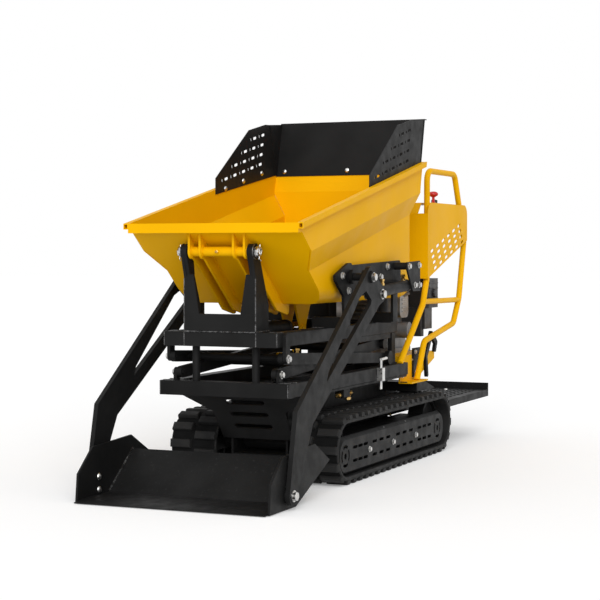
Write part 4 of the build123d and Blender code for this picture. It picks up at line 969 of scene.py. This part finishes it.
# Places and reaches are in metres here; the lens and the sensor are in millimetres
WORLD_LIGHT = 0.62
WORLD_SEEN = 1.0
FLOOR_REACH = 40
FLOOR_Z = -0.0006
FLOOR_TONE = 0.88
FLOOR_ROUGHNESS = 0.9
FLOOR_SEEN = 0.18
WHITE = (1, 1, 1, 1)
KEY_STRENGTH = 2.2
KEY_ANGLE = math.radians(50)
KEY_WAY = (-0.36, 0.80, -0.48)
CAMERA_PLACE = (2.445, -5.875, 0.831)
CAMERA_TURN = math.radians(23.31)
SENSOR_WIDTH = 36.0
LENS = 97.5
VIEW_END = 100
# The horizon's row in the photograph, its middle row, and its focal length in pixels
HORIZON_ROW = 251.3
MIDDLE_ROW = 300
FOCAL_PIXELS = 1624.5


def seen_ray(tree):
    """1 where the camera sees a thing, straight or in a mirror or glass, and 0 for light that it gives."""
    path = tree.nodes.new("ShaderNodeLightPath")
    seen = path.outputs["Is Camera Ray"]
    for name in ("Is Glossy Ray", "Is Transmission Ray"):
        join = tree.nodes.new("ShaderNodeMath")
        join.operation = "MAXIMUM"
        tree.links.new(seen, join.inputs[0])
        tree.links.new(path.outputs[name], join.inputs[1])
        seen = join.outputs[0]
    return seen


world = bpy.data.worlds.new("studio")
scene.world = world
world.use_nodes = True
tree = world.node_tree
background = tree.nodes["Background"]
background.inputs["Color"].default_value = WHITE
level = tree.nodes.new("ShaderNodeMapRange")
level.inputs["To Min"].default_value = WORLD_LIGHT
level.inputs["To Max"].default_value = WORLD_SEEN
tree.links.new(seen_ray(tree), level.inputs["Value"])
tree.links.new(level.outputs["Result"], background.inputs["Strength"])

paper = bpy.data.materials.new("floor_white")
paper.use_nodes = True
tree = paper.node_tree
shader = tree.nodes["Principled BSDF"]
shader.inputs["Base Color"].default_value = (*grey(FLOOR_TONE), 1)
shader.inputs["Roughness"].default_value = FLOOR_ROUGHNESS
shader.inputs["Specular IOR Level"].default_value = 0.0
shader.inputs["Emission Color"].default_value = WHITE
glow = tree.nodes.new("ShaderNodeMath")
glow.operation = "MULTIPLY"
glow.inputs[1].default_value = FLOOR_SEEN
tree.links.new(seen_ray(tree), glow.inputs[0])
tree.links.new(glow.outputs[0], shader.inputs["Emission Strength"])

floor_mesh = bmesh.new()
floor_mesh.faces.new([
    floor_mesh.verts.new((x * FLOOR_REACH, y * FLOOR_REACH, FLOOR_Z))
    for x, y in ((-1, -1), (1, -1), (1, 1), (-1, 1))])
floor_data = bpy.data.meshes.new("floor")
floor_mesh.to_mesh(floor_data)
floor_mesh.free()
floor_data.materials.append(paper)
floor = bpy.data.objects.new("floor", floor_data)
scene.collection.objects.link(floor)

key_data = bpy.data.lights.new("key", "SUN")
key_data.energy = KEY_STRENGTH
key_data.angle = KEY_ANGLE
key = bpy.data.objects.new("key", key_data)
key.rotation_euler = Vector(KEY_WAY).to_track_quat("-Z", "Y").to_euler()
scene.collection.objects.link(key)

camera_data = bpy.data.cameras.new("camera")
camera_data.sensor_width = SENSOR_WIDTH
camera_data.lens = LENS
camera_data.clip_end = VIEW_END
camera = bpy.data.objects.new("camera", camera_data)
camera.location = CAMERA_PLACE
pitch = math.atan((MIDDLE_ROW - HORIZON_ROW) / FOCAL_PIXELS)
camera.rotation_euler = (math.pi / 2 - pitch, 0, CAMERA_TURN)
scene.collection.objects.link(camera)
scene.camera = camera
